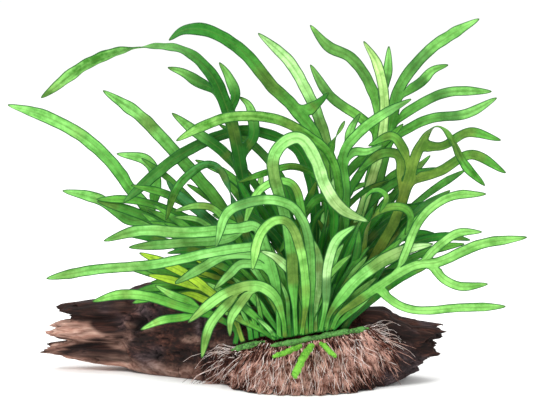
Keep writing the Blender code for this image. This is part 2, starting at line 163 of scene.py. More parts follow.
def attribute(tree: bpy.types.NodeTree, name: str, output: str = "Fac") -> bpy.types.NodeSocket:
    """Reads one of the mesh's own attributes."""
    return add_node(tree, "ShaderNodeAttribute", {"attribute_name": name}).outputs[output]


def noisy(tree: bpy.types.NodeTree, place: bpy.types.NodeSocket, size_mm: float,
          **settings: float) -> bpy.types.NodeSocket:
    """Adds a noise with blotches about size_mm wide; the settings name its other inputs."""
    return add_node(tree, "ShaderNodeTexNoise", {"Scale": 1000 / size_mm, **settings},
                    {"Vector": place}).outputs["Fac"]


def cells(tree: bpy.types.NodeTree, place: bpy.types.NodeSocket, size_mm: float) -> bpy.types.NodeSocket:
    """Adds cells about size_mm wide and gives the distance to their edges."""
    return add_node(tree, "ShaderNodeTexVoronoi",
                    {"feature": "DISTANCE_TO_EDGE", "Scale": 1000 / size_mm},
                    {"Vector": place}).outputs["Distance"]


def mapped(tree: bpy.types.NodeTree, value: bpy.types.NodeSocket, low: float, high: float,
           start: float = 0.0, end: float = 1.0) -> bpy.types.NodeSocket:
    """Maps the span from low to high onto the one from start to end, and holds it there."""
    spans = {"From Min": low, "From Max": high, "To Min": start, "To Max": end}
    return add_node(tree, "ShaderNodeMapRange", spans, {"Value": value}).outputs["Result"]


def ramped(tree: bpy.types.NodeTree, value: bpy.types.NodeSocket,
           *stops: tuple[float, str]) -> bpy.types.NodeSocket:
    """Turns a value to a colour through a ramp of sRGB stops."""
    return add_node(tree, "ShaderNodeValToRGB", links={"Fac": value}, stops=list(stops)).outputs["Color"]


def blended(tree: bpy.types.NodeTree, share: bpy.types.NodeSocket, first: bpy.types.NodeSocket,
            second: bpy.types.NodeSocket | str) -> bpy.types.NodeSocket:
    """Mixes two colours.

    Args:
        tree: the material's node tree.
        share: how much of the second colour shows.
        first: the first colour.
        second: the second colour, or its sRGB hex value.

    Returns:
        The mixed colour.
    """
    settings: dict = {"data_type": "RGBA"}
    links: dict = {FACTOR: share, FIRST: first}
    if isinstance(second, str):
        settings[SECOND] = linear(second)
    else:
        links[SECOND] = second
    return add_node(tree, "ShaderNodeMix", settings, links).outputs[RESULT]


def surfaced(material: bpy.types.Material, shader: bpy.types.Node, colour: bpy.types.NodeSocket,
             height: bpy.types.NodeSocket | None = None, strength: float = 0.0,
             depth_mm: float = 0.0) -> bpy.types.Material:
    """Feeds a colour to the shader, and a fine relief where there is one.

    Args:
        material: the material.
        shader: its Principled node.
        colour: the surface's colour.
        height: the relief, or None for a plain surface.
        strength: how strongly the relief shows.
        depth_mm: how deep the relief is.

    Returns:
        The finished material.
    """
    tree = material.node_tree
    tree.links.new(colour, shader.inputs["Base Color"])
    if height is not None:
        bump = add_node(tree, "ShaderNodeBump", {"Strength": strength, "Distance": depth_mm * MM},
                        {"Height": height})
        tree.links.new(bump.outputs["Normal"], shader.inputs["Normal"])
    return material


class Tone(Enum):
    """The greens that a frond passes through from its stalk to its tip. They are partly painted light:
    the dark and blue greens at the stalks and on fronds inside and behind the clump are painted shade,
    and the pale greens of the outer tips a painted highlight.
    """

    PALE = "#BCEB9C"
    FRESH = "#90D872"
    MID = "#60B045"
    DEEP = "#2A7D20"
    DARK = "#115814"
    OLIVE = "#6E9034"
    BLUE = "#418E55"
    YOUNG = "#A0CE3A"


@dataclass(frozen=True)
class LeafFinish:
    """A leathery fern leaf: a satin cuticle over soft tissue, with a fine net of veins.

    The cuticle gives a broad soft gloss, and the tissue is mottled with darker green.
    """

    name: str
    # shade is painted shade: it darkens the underside's tissue more than the upper side's
    shade: float  # how far the tissue is darkened
    rim: str = "#12501A"
    vein: str = "#4F6A2A"
    wash: str = "#6E9A50"
    roughness: float = 0.48
    ior: float = 1.45
    mottle_mm: float = 11.0
    streaks: Size = (0.035, 0.45, 1.0)  # long along the blade, fine across it
    net_mm: float = 1.6  # drawn about twice as coarse as the real net, so that it shows

    def material(self) -> bpy.types.Material:
        """Builds the leaf material, which reads the blade's own attributes."""
        material, shader = new_tree(self.name, self.roughness, self.ior)
        tree = material.node_tree
        place = add_node(tree, "ShaderNodeTexCoord").outputs["Object"]
        tint = attribute(tree, "leaf_tint", "Color")
        rim, vein, along, across = (attribute(tree, name)
                                    for name in ("rim_mm", "vein_mm", "along_mm", "across_mm"))
        cloud = noisy(tree, place, self.mottle_mm, Detail=4.0, Roughness=0.65)
        on_blade = add_node(tree, "ShaderNodeCombineXYZ", {"Z": 0.37},
                            {"X": along, "Y": across}).outputs["Vector"]
        stretch = add_node(tree, "ShaderNodeMapping", {"Scale": self.streaks},
                           {"Vector": on_blade}).outputs["Vector"]
        streak = add_node(tree, "ShaderNodeTexNoise", {"Scale": 1.0, "Detail": 3.0},
                          {"Vector": stretch}).outputs["Fac"]
        wash = add_node(tree, "ShaderNodeMath", {"operation": "MULTIPLY_ADD", 1: 0.6},
                        {0: streak, 2: cloud}).outputs["Value"]
        # the painted shade deepens the darker wash on the underside
        depth = mapped(tree, wash, 0.62, 0.96, 0.75 + self.shade, 0.0)
        darker = add_node(tree, "ShaderNodeMix",
                          {"data_type": "RGBA", "blend_type": "MULTIPLY", FACTOR: 1.0,
                           SECOND: linear(self.wash)},
                          {FIRST: tint}).outputs[RESULT]
        body = blended(tree, depth, tint, darker)
        edged = blended(tree, mapped(tree, rim, 0.3, 1.05, 0.95, 0.0), body, self.rim)
        veined = blended(tree, mapped(tree, vein, 0.1, 0.6, 0.42, 0.0), edged, self.vein)
        net = mapped(tree, cells(tree, place, self.net_mm), 0.0, 0.12)
        groove = mapped(tree, vein, 0.0, 0.6, 1.5, 0.0)
        relief = add_node(tree, "ShaderNodeMath", {"operation": "ADD"},
                          {0: net, 1: groove}).outputs["Value"]
        return surfaced(material, shader, veined, relief, 0.35, 0.2)


@dataclass(frozen=True)
class WoodFinish:
    """Driftwood, waterlogged and weathered: dark, with the soft grain worn out of the hard."""

    name: str = "driftwood, waterlogged and weathered"
    roughness: float = 0.78
    ior: float = 1.5
    grain_mm: float = 2.2
    figure_mm: float = 8.0
    patch_mm: float = 38.0
    along: float = 0.06  # grain runs this much slower along the wood than across it

    def material(self) -> bpy.types.Material:
        """Builds the wood material from long grain, patches and painted shade in the mesh's own cracks
        and hollows.
        """
        material, shader = new_tree(self.name, self.roughness, self.ior)
        tree = material.node_tree
        place = add_node(tree, "ShaderNodeTexCoord").outputs["Object"]
        lengthwise = add_node(tree, "ShaderNodeMapping",
                              {"Scale": (self.along, 1.0, 1.0), "Rotation": (0.0, 0.05, 0.05)},
                              {"Vector": place}).outputs["Vector"]
        grain = noisy(tree, lengthwise, self.grain_mm, Detail=4.0, Roughness=0.65, Distortion=0.1)
        figure = noisy(tree, lengthwise, self.figure_mm, Detail=3.0, Distortion=0.2)
        patch = noisy(tree, place, self.patch_mm, Detail=2.0)
        bands = add_node(tree, "ShaderNodeMix", {"data_type": "FLOAT", FACTOR: 0.55},
                         {2: figure, 3: grain}).outputs[0]
        brown = ramped(tree, bands, (0.34, "#0B0505"), (0.47, "#1E0F0C"), (0.57, "#3A2019"),
                       (0.72, "#6A4335"))
        grey = ramped(tree, bands, (0.34, "#120D0E"), (0.5, "#2F2427"), (0.68, "#655659"))
        tan = ramped(tree, bands, (0.34, "#5E3B32"), (0.47, "#AC8070"), (0.66, "#DDBBAA"))
        patched = blended(tree, mapped(tree, patch, 0.5, 0.62, 0.0, 0.85), brown, grey)
        ended = blended(tree, attribute(tree, "worn_end"), patched, tan)
        # painted shade: the cracks, the knot's bowl and the grain's grooves are darkened toward near
        # black
        deep = blended(tree, attribute(tree, "crevice_shade"), ended, "#0C0605")
        return surfaced(material, shader, deep, grain, 0.8, 0.6)


@dataclass(frozen=True)
class FibreFinish:
    """Fine fern roots, grown and matted: dull, hairy and a little uneven in colour."""

    name: str
    light: str
    dark: str
    fleck_mm: float
    roughness: float = 0.85
    ior: float = 1.4

    def material(self) -> bpy.types.Material:
        """Builds the root material: two browns that change every few millimetres."""
        material, shader = new_tree(self.name, self.roughness, self.ior)
        tree = material.node_tree
        place = add_node(tree, "ShaderNodeTexCoord").outputs["Object"]
        fleck = noisy(tree, place, self.fleck_mm, Detail=2.0)
        return surfaced(material, shader, ramped(tree, fleck, (0.38, self.dark), (0.62, self.light)))


@dataclass(frozen=True)
class BarkFinish:
    """Live rhizome bark: green and scaly, with painted shade, a darker green, between the scales."""

    name: str
    green: str
    # shadow: the painted shade between the scales
    shadow: str
    roughness: float = 0.55
    ior: float = 1.45
    scale_mm: float = 2.2

    def material(self) -> bpy.types.Material:
        """Builds the bark from cells whose edges are darkened by painted shade."""
        material, shader = new_tree(self.name, self.roughness, self.ior)
        tree = material.node_tree
        place = add_node(tree, "ShaderNodeTexCoord").outputs["Object"]
        scales = cells(tree, place, self.scale_mm)
        cloud = noisy(tree, place, 3 * self.scale_mm)
        both = add_node(tree, "ShaderNodeMath", {"operation": "MULTIPLY_ADD", 1: 1.6},
                        {0: scales, 2: cloud}).outputs["Value"]
        colour = ramped(tree, both, (0.35, self.shadow), (0.75, self.green))
        return surfaced(material, shader, colour, scales, 0.6, 0.4)


UPPER_SIDE = LeafFinish("fern leaf, leathery upper side", shade=0.0)
# The underside is the upper side's finish, matt and darkened by painted shade.
UNDER_SIDE = LeafFinish("fern leaf, matt underside", shade=0.25, rim="#184F1A", roughness=0.6)
WOOD = WoodFinish()
PINK_ROOTS = FibreFinish("fern roots, pink-brown", "#D3A798", "#744A3E", fleck_mm=6.0)
DARK_ROOTS = FibreFinish("fern roots, old and dark", "#5A362D", "#220F0C", fleck_mm=6.0)
PALE_ROOTS = FibreFinish("fern roots, young and pale", "#FFF6F2", "#D9BDB2", fleck_mm=5.0)
ROOT_FELT = FibreFinish("felt of root hairs", "#2E1813", "#120807", fleck_mm=3.0)
BARK = BarkFinish("rhizome bark, green and scaly", "#578F45", "#263F1E")
# painted shade: a darker bark for the rhizomes that lie in the clump's shade
SHADED_BARK = BarkFinish("rhizome bark, brown-green, painted shade", "#3A5430", "#1B2416")
STUB_BARK = BarkFinish("rhizome stub, cut and green", "#76B83F", "#3C7A22")


@dataclass(frozen=True)
class Frond:
    """One frond: a stalk and blade in one, with its lobes. Lengths are in millimetres.

    row and at: the rhizome that it grows on, and where along X.
    lean: how far it stands forward (-) or back (+) at 200 mm from its foot.
    stalk: the length of its bare stalk.
    turn: how far the blade turns about its midrib along the way, in degrees.
    midrib and lobes: (x, z) places, from the foot to the tip.
    bends: how far each lobe bends forward (-) or back (+) out of the blade.
    tones: the greens of its stalk, its middle and its tip.
    """

    name: str
    row: str
    at: float
    lean: float
    width: float
    stalk: float
    turn: tuple[float, ...]
    tones: tuple[Tone, Tone, Tone]
    midrib: tuple[Place, ...]
    lobes: tuple[tuple[Place, ...], ...] = ()
    bends: tuple[float, ...] = ()


PALE, FRESH, MID, DEEP = Tone.PALE, Tone.FRESH, Tone.MID, Tone.DEEP
DARK, OLIVE, BLUE, YOUNG = Tone.DARK, Tone.OLIVE, Tone.BLUE, Tone.YOUNG

RHIZOME_LINES: dict[str, tuple[Size, ...]] = {
    "left": ((-14, -45, 31), (-3, -46, 34), (11, -44.5, 38)),
    "front": ((15, -44, 34.5), (40, -43, 38.5), (65, -41, 43), (90, -38, 47)),
    "middle": ((0, -24, 60), (40, -23, 57), (80, -22, 56)),
    "back": ((-5, -3, 64), (35, -3, 59), (80, -3, 59)),
    "between": ((4, -35, 41), (40, -34, 40), (78, -33, 41)),
    "rear": ((2, 12, 59), (40, 12, 55), (78, 12, 52)),
}

# Each frond's tones run from its stalk to its tip. The dark stalks and the dark fronds inside and behind
# the clump are partly painted shade, and the pale outer tips partly a painted highlight.
FRONDS = (
    Frond("frond_left_hand", "back", 3, 36, 10, 55, (0, 20, -15, 10, -25), (OLIVE, MID, FRESH),
          ((-8, 86), (-34, 104), (-65, 117), (-76, 124), (-80, 133), (-91, 145), (-105, 164),
           (-128, 184), (-157, 199), (-186, 207)),
          (((-77, 126), (-72, 145), (-73, 158), (-80, 168), (-102, 172)),
           ((-76, 124), (-92, 121), (-115, 136), (-144, 142))), (-4, 4)),
    Frond("frond_tall_arch", "back", 10, -20, 10, 35, (10, 0, -10, 10, 60, 150, 165),
          (DARK, DEEP, FRESH),
          ((6, 90), (0, 116), (-5, 155), (-10, 184), (-17, 210), (-29, 237), (-52, 256),
           (-87, 257), (-121, 246), (-157, 220)),
          (((-20, 209), (-11, 220), (-16, 236), (-23, 247)),
           ((-23, 225), (-37, 230), (-50, 238), (-62, 242)),
           ((-5, 178), (3, 191), (0, 212), (-8, 220)),
           ((-9, 163), (-21, 178), (-39, 191), (-59, 207))), (-5, 6, 0, 6)),
    Frond("frond_long_blade", "back", 18, 18, 10, 35, (0, -15, 10, 25), (OLIVE, MID, FRESH),
          ((9, 84), (-8, 112), (-25, 138), (-53, 170), (-83, 201), (-112, 221))),
    Frond("frond_mid_arch", "back", 44, -5, 9, 50, (20, 10, -20, -10, 15), (DARK, DEEP, MID),
          ((50, 90), (49, 140), (38, 176), (15, 190), (-8, 193), (-33, 185), (-59, 170), (-96, 138))),
    Frond("frond_forward_arch", "middle", 57.5, -38, 8, 55, (0, 15, 150, 170, 185, 170),
          (DARK, MID, FRESH),
          ((64, 84), (68, 136), (62, 175), (45, 193), (19, 207), (-13, 209), (-37, 201), (-55, 191)),
          (((59, 178), (63, 190), (67, 198), (71, 206)),), (-4,)),
    Frond("frond_back_arch", "back", 53, 25, 10, 50, (0, 15, -15, 10, -10, 30), (OLIVE, MID, DEEP),
          ((57, 90), (59, 132), (53, 179), (35, 206), (15, 226), (-5, 250), (-30, 265), (-50, 266),
           (-62, 258)),
          (((38, 202), (46, 207), (53, 212), (60, 219)),), (4,)),
    Frond("frond_high_blade", "back", 62, 44, 9, 50, (20, -10, 15, -20), (MID, FRESH, PALE),
          ((63, 90), (64, 130), (59, 176), (51, 202), (42, 221), (29, 242), (6, 262))),
    Frond("frond_top_right", "back", 76, 30, 9, 45, (0, -15, 15, 0, -20), (OLIVE, MID, FRESH),
          ((79, 94), (95, 142), (107, 194), (114, 223), (135, 249), (155, 263), (175, 274)),
          (((107, 204), (101, 217), (105, 234), (106, 253)),
           ((112, 216), (129, 226), (139, 236), (151, 240)),
           ((109, 197), (130, 211), (152, 220), (184, 220)),
           ((104, 183), (135, 199), (164, 203), (188, 215))), (8, -6, -9, -7)),
    Frond("frond_back_fork", "back", 69, 56, 9, 50, (-10, 15, -15, 25), (DEEP, MID, FRESH),
          ((73, 94), (90, 144), (99, 195), (92, 222), (78, 242), (60, 251), (46, 267)),
          (((98, 188), (82, 200), (61, 215), (46, 238)),), (-5,)),
    Frond("frond_pale_blade", "back", 65, 6, 8, 50, (15, -15, 10, -25), (FRESH, PALE, PALE),
          ((75, 100), (91, 150), (99, 180), (102, 212), (97, 241), (86, 260))),
    Frond("frond_low_right_fork", "middle", 64.5, -22, 8, 45, (0, 20, -10, 20), (DEEP, MID, FRESH),
          ((70, 104), (72, 150), (70, 178), (84, 197), (101, 210), (121, 221)),
          (((71, 173), (78, 180), (88, 180), (100, 185)),
           ((70, 179), (74, 190), (77, 199), (83, 209))), (4, 9)),
    Frond("frond_staghorn", "middle", 76, -14, 9, 35, (0, 10, -15, 20, 120, 165), (OLIVE, OLIVE, MID),
          ((84, 82), (108, 124), (118, 154), (126, 181), (138, 199), (149, 194), (162, 170),
           (177, 154)),
          (((113, 153), (113, 175), (98, 177), (81, 163)),
           ((122, 169), (112, 187), (105, 192), (89, 184)),
           ((131, 184), (146, 184), (165, 194), (189, 188)),
           ((119, 158), (143, 164), (167, 177), (193, 163))), (8, 0, 7, 7)),
    Frond("frond_right_staghorn", "front", 61.5, -72, 8, 15, (0, 15, -10, 20), (MID, FRESH, FRESH),
          ((67, 58), (78, 67), (100, 84), (123, 99), (142, 103), (172, 118), (205, 125)),
          (((111, 91), (116, 107), (128, 136), (149, 153), (175, 156)),
           ((128, 100), (138, 113), (154, 126), (172, 128)),
           ((136, 102), (143, 91), (157, 85), (177, 88)),
           ((96, 82), (108, 70), (127, 65), (157, 69), (190, 72))), (6, -4, -4, -6)),
    Frond("frond_right_blade", "front", 57, -48, 10, 15, (0, -15, 15), (MID, FRESH, PALE),
          ((59, 56), (66, 68), (83, 88), (112, 108), (137, 115))),
    Frond("frond_olive_crook", "middle", 71.5, -42, 7, 35, (0, 20, 60, 160, 150), (OLIVE, OLIVE, MID),
          ((77, 80), (85, 103), (89, 125), (100, 137), (114, 139), (121, 132), (117, 117))),
    Frond("frond_small_crook", "middle", 61, -86, 6, 30, (0, 20, 90, 160), (DEEP, DEEP, MID),
          ((66, 80), (77, 114), (84, 136), (88, 151), (96, 155), (102, 149), (97, 137))),
    Frond("frond_bright_arch", "front", 34.5, -92, 10, 35, (20, 0, 30, 10, -10, -15),
          (MID, FRESH, PALE),
          ((33, 75), (30, 119), (20, 162), (17, 183), (25, 197), (38, 200), (49, 183), (56, 162),
           (69, 144), (88, 135))),
    Frond("frond_level_blade", "middle", 47, -50, 6, 45, (0, 15, 120, 165, 150), (DARK, DEEP, MID),
          ((50, 84), (57, 137), (51, 161), (33, 171), (11, 166), (-9, 159))),
    Frond("frond_left_drop", "front", 46, -104, 8, 30, (0, 15, -20, 10, 30), (MID, FRESH, FRESH),
          ((46, 75), (44, 120), (35, 143), (20, 152), (0, 151), (-17, 142), (-25, 116))),
    Frond("frond_left_hook", "middle", 40, -84, 7, 35, (0, -20, 15, 35, 20), (DEEP, MID, FRESH),
          ((42, 78), (41, 119), (35, 154), (23, 162), (9, 156), (1, 143), (-4, 127))),
    Frond("frond_inner_drop", "middle", 50.5, -70, 8, 30, (0, 60, 165, 150, 160), (DARK, DEEP, MID),
          ((55, 84), (63, 124), (60, 145), (50, 146), (36, 127), (22, 104))),
    Frond("frond_upright_strap", "back", 49, -12, 6, 30, (10, -20, 20), (MID, FRESH, PALE),
          ((54, 90), (56, 124), (63, 150), (73, 176))),
    Frond("frond_short_hook", "front", 39, -124, 8, 20, (0, 20, -15, 20), (MID, FRESH, FRESH),
          ((42, 75), (38, 112), (30, 134), (18, 137), (7, 124), (2, 97))),
    Frond("frond_left_fan", "front", 22, -64, 9, 35, (0, 10, -15, 10, -15), (MID, FRESH, FRESH),
          ((20, 78), (10, 118), (4, 129), (-8, 128), (-45, 125), (-81, 128), (-108, 121)),
          (((-2, 127), (-19, 118), (-52, 116), (-90, 114)),
           ((9, 114), (-26, 110), (-70, 102), (-114, 100), (-150, 95)),
           ((10, 106), (-17, 106), (-35, 97), (-56, 85)),
           ((12, 98), (-6, 99), (-14, 92), (-27, 79))), (8, -4, 4, 4)),
    Frond("frond_front_fork", "front", 26.5, -95, 9, 20, (0, 15, -15, 10), (MID, FRESH, FRESH),
          ((25, 55), (19, 73), (6, 83), (-11, 81), (-26, 73), (-46, 57)),
          (((-9, 80), (-15, 71), (-30, 52), (-36, 28)),
           ((2, 81), (-6, 70), (-14, 57), (-15, 43))), (7, 6)),
    Frond("frond_log_leaf", "left", -11, -22, 8, 20, (0, -15, 10, -10), (DEEP, MID, FRESH),
          ((-11, 47), (-28, 58), (-51, 65), (-75, 73), (-97, 75), (-118, 70)),
          (((-37, 62), (-46, 70), (-58, 75), (-71, 83)),
           ((-38, 60), (-50, 57), (-66, 55), (-82, 48))), (-7, -1)),
    Frond("frond_pale_strap", "front", 42.5, -72, 8, 15, (0, 20, -15), (MID, FRESH, PALE),
          ((41, 66), (38, 82), (30, 94), (19, 105), (8, 110))),
    Frond("frond_broad_front", "front", 49.5, -54, 10, 20, (0, -15, 15), (FRESH, PALE, FRESH),
          ((49, 60), (51, 84), (50, 105), (44, 122))),
    Frond("frond_tall_front", "front", 53, -92, 8, 20, (0, 15, -20), (MID, PALE, FRESH),
          ((57, 68), (58, 97), (65, 119), (79, 131))),
    Frond("frond_dark_inner", "middle", 54, -62, 7, 15, (0, -20, 10), (DARK, DARK, DEEP),
          ((57, 70), (64, 86), (70, 106), (78, 121))),
    Frond("frond_dark_side", "middle", 68, -60, 7, 15, (0, 25, 10), (DARK, DEEP, MID),
          ((70, 72), (76, 88), (81, 105), (82, 122))),
    Frond("frond_grey_inner", "middle", 37, -30, 5, 20, (0, 20), (DARK, BLUE, BLUE),
          ((39, 70), (41, 84), (39, 98), (36, 111))),
    Frond("frond_short_bud_left", "front", 30.5, -60, 4, 10, (0, 10), (DEEP, MID, FRESH),
          ((29, 54), (28, 71), (23, 85))),
    Frond("frond_short_bud_right", "middle", 32, -34, 4, 5, (0, 10), (DEEP, MID, MID),
          ((34, 66), (33, 70), (30, 77))),
    Frond("frond_olive_strap", "back", 57, -58, 7, 20, (0, -15, 15), (DARK, OLIVE, OLIVE),
          ((61, 78), (61, 104), (57, 116), (51, 127))),
    Frond("frond_thin_inner", "middle", 43.5, -34, 4, 25, (0, 20, -10), (DARK, DEEP, DEEP),
          ((44, 74), (45, 105), (49, 128), (59, 140))),
    Frond("frond_front_small", "front", 17, -70, 8, 4, (0, 15), (MID, FRESH, FRESH),
          ((18, 42), (13, 49), (5, 56))),
    Frond("frond_blue_arch", "middle", 12, -38, 7, 35, (0, 20, 10, 150, 165, 150), (DARK, BLUE, MID),
          ((8, 82), (-3, 117), (-13, 144), (-21, 166), (-33, 172), (-48, 162), (-57, 149),
           (-63, 129))),
    Frond("frond_blue_blade", "middle", 6, 5, 8, 20, (0, -15, 20), (DARK, BLUE, BLUE),
          ((0, 80), (-11, 103), (-32, 128), (-54, 146), (-63, 157))),
    Frond("frond_short_left_upper", "middle", 9, -20, 6, 25, (0, 15, -15), (DARK, MID, FRESH),
          ((5, 80), (-7, 109), (-24, 134), (-39, 139), (-57, 135))),
    Frond("frond_short_left_lower", "middle", 0, -25, 5, 30, (0, 15, -15), (DARK, MID, FRESH),
          ((-5, 80), (-17, 107), (-36, 127), (-57, 131))),
    Frond("frond_stem_left", "left", 1, -30, 3.5, 5, (0, 10), (DEEP, MID, FRESH),
          ((-1, 50), (-8, 65))),
    Frond("frond_stem_middle", "left", 5, -15, 3.5, 5, (0, 10), (DEEP, MID, FRESH),
          ((3, 54), (-3, 70))),
    Frond("frond_stem_right", "left", 9.5, -25, 3.5, 5, (0, 10), (DEEP, MID, FRESH),
          ((8, 57), (5, 74))),
    Frond("frond_young_tuft", "left", -5, -10, 8, 12, (0, -15, 15), (OLIVE, YOUNG, YOUNG),
          ((-13, 58), (-26, 73), (-45, 88), (-64, 98), (-83, 106)),
          (((-34, 78), (-46, 81), (-62, 85), (-77, 88)),
           ((-19, 64), (-34, 69), (-44, 73), (-54, 73))), (8, 9)),
    Frond("frond_rear_left", "back", 25, 118, 9, 25, (0, 25, -20), (DEEP, MID, FRESH),
          ((15, 92), (6, 125), (9, 155))),
    Frond("frond_rear_right", "back", 37, 135, 9, 25, (0, -25, 20), (DEEP, MID, FRESH),
          ((42, 94), (60, 130), (76, 142))),
)


def spline_place(places: list[Vector], t: float) -> Vector:
    """Reads the Catmull-Rom curve through places, with t from 0 to 1."""
    spans = len(places) - 1
    span = min(int(t * spans), spans - 1)
    f = t * spans - span
    p1, p2 = places[span], places[span + 1]
    p0 = places[span - 1] if span > 0 else 2 * p1 - p2
    p3 = places[span + 2] if span + 2 < len(places) else 2 * p2 - p1
    return 0.5 * (2 * p1 + (p2 - p0) * f + (2 * p0 - 5 * p1 + 4 * p2 - p3) * f ** 2
                  + (3 * p1 - p0 - 3 * p2 + p3) * f ** 3)


def smooth_line(places: list[Vector], count: int) -> list[Vector]:
    """Spreads places evenly along the smooth curve through a few places.

    Args:
        places: the curve's own places.
        count: how many places to return.

    Returns:
        The places, with the curve's two ends among them.
    """
    fine = [spline_place(places, i / FINE_STEPS) for i in range(FINE_STEPS + 1)]
    reach = [0.0]
    for before, after in zip(fine, fine[1:]):
        reach.append(reach[-1] + (after - before).length)
    line: list[Vector] = []
    at = 0
    for i in range(count):
        wanted = reach[-1] * i / (count - 1)
        while at < len(fine) - 2 and reach[at + 1] < wanted:
            at += 1
        part = (wanted - reach[at]) / max(reach[at + 1] - reach[at], 1e-9)
        line.append(fine[at].lerp(fine[at + 1], min(part, 1.0)))
    return line


def line_length(line: list[Vector]) -> float:
    """Adds up the length of a chain of places."""
    return sum((after - before).length for before, after in zip(line, line[1:]))


def extruded_row(bm: bmesh.types.BMesh, row: list[bmesh.types.BMVert],
                 places: list[Vector]) -> list[bmesh.types.BMVert]:
    """Extrudes a chain of vertices and moves the new ones into place.

    Args:
        bm: the mesh being modelled.
        row: the chain, in order.
        places: where the new vertices go, in the same order.

    Returns:
        The new chain.
    """
    edges = [bm.edges.get(pair) for pair in zip(row, row[1:])]
    made = bmesh.ops.extrude_edge_only(bm, edges=edges)["geom"]
    fresh = {item for item in made if isinstance(item, bmesh.types.BMVert)}
    new_row = []
    for vert, place in zip(row, places):
        twin = next(e.other_vert(vert) for e in vert.link_edges if e.other_vert(vert) in fresh)
        twin.co = place
        new_row.append(twin)
    return new_row


def finished(name: str, bm: bmesh.types.BMesh, materials: list[bpy.types.Material]) -> bpy.types.Object:
    """Makes a smooth-shaded object of a bmesh whose places are in millimetres.

    Args:
        name: the piece's name.
        bm: the mesh, which is used up.
        materials: its material slots.

    Returns:
        The object, at the origin.
    """
    bmesh.ops.scale(bm, vec=(MM, MM, MM), verts=bm.verts)
    mesh = bpy.data.meshes.new(name)
    bm.to_mesh(mesh)
    bm.free()
    mesh.shade_smooth()
    for material in materials:
        mesh.materials.append(material)
    obj = bpy.data.objects.new(name, mesh)
    bpy.context.scene.collection.objects.link(obj)
    return obj


def applied(obj: bpy.types.Object) -> bpy.types.Object:
    """Applies an object's modifiers, so that its mesh is what they make."""
    graph = bpy.context.evaluated_depsgraph_get()
    mesh = bpy.data.meshes.new_from_object(obj.evaluated_get(graph))
    obj.modifiers.clear()
    obj.data = mesh
    return obj


def in_millimetres(meshes: list[bpy.types.Mesh], weld: float = 0.0) -> bmesh.types.BMesh:
    """Copies meshes into one bmesh, in millimetres.

    Args:
        meshes: the meshes, in metres.
        weld: vertices nearer than this, in metres, become one.

    Returns:
        The new bmesh.
    """
    bm = bmesh.new()
    for mesh in meshes:
        bm.from_mesh(mesh)
    if weld:
        bmesh.ops.remove_doubles(bm, verts=bm.verts, dist=weld)
    bmesh.ops.scale(bm, vec=(1 / MM, 1 / MM, 1 / MM), verts=bm.verts)
    return bm


def evened(obj: bpy.types.Object, voxel: float, softening: int) -> bpy.types.Object:
    """Gives an object an even mesh, with voxels in millimetres, and smooths it a few times."""
    even = obj.modifiers.new("even", "REMESH")
    even.mode = "VOXEL"
    even.voxel_size = voxel * MM
    soft = obj.modifiers.new("soft", "SMOOTH")
    soft.factor = 0.5
    soft.iterations = softening
    return applied(obj)


def dressed(obj: bpy.types.Object, material: bpy.types.Material) -> bpy.types.Object:
    """Gives a remeshed object its finish and smooth shading."""
    obj.data.materials.clear()
    obj.data.materials.append(material)
    obj.data.shade_smooth()
    return obj


def noise_at(place: Vector, size: Size, shift: float = 0.0) -> float:
    """Reads a noise with blotches of this size, in millimetres along X, Y and Z."""
    return noise.noise(Vector((place.x / size[0] + shift, place.y / size[1], place.z / size[2])))


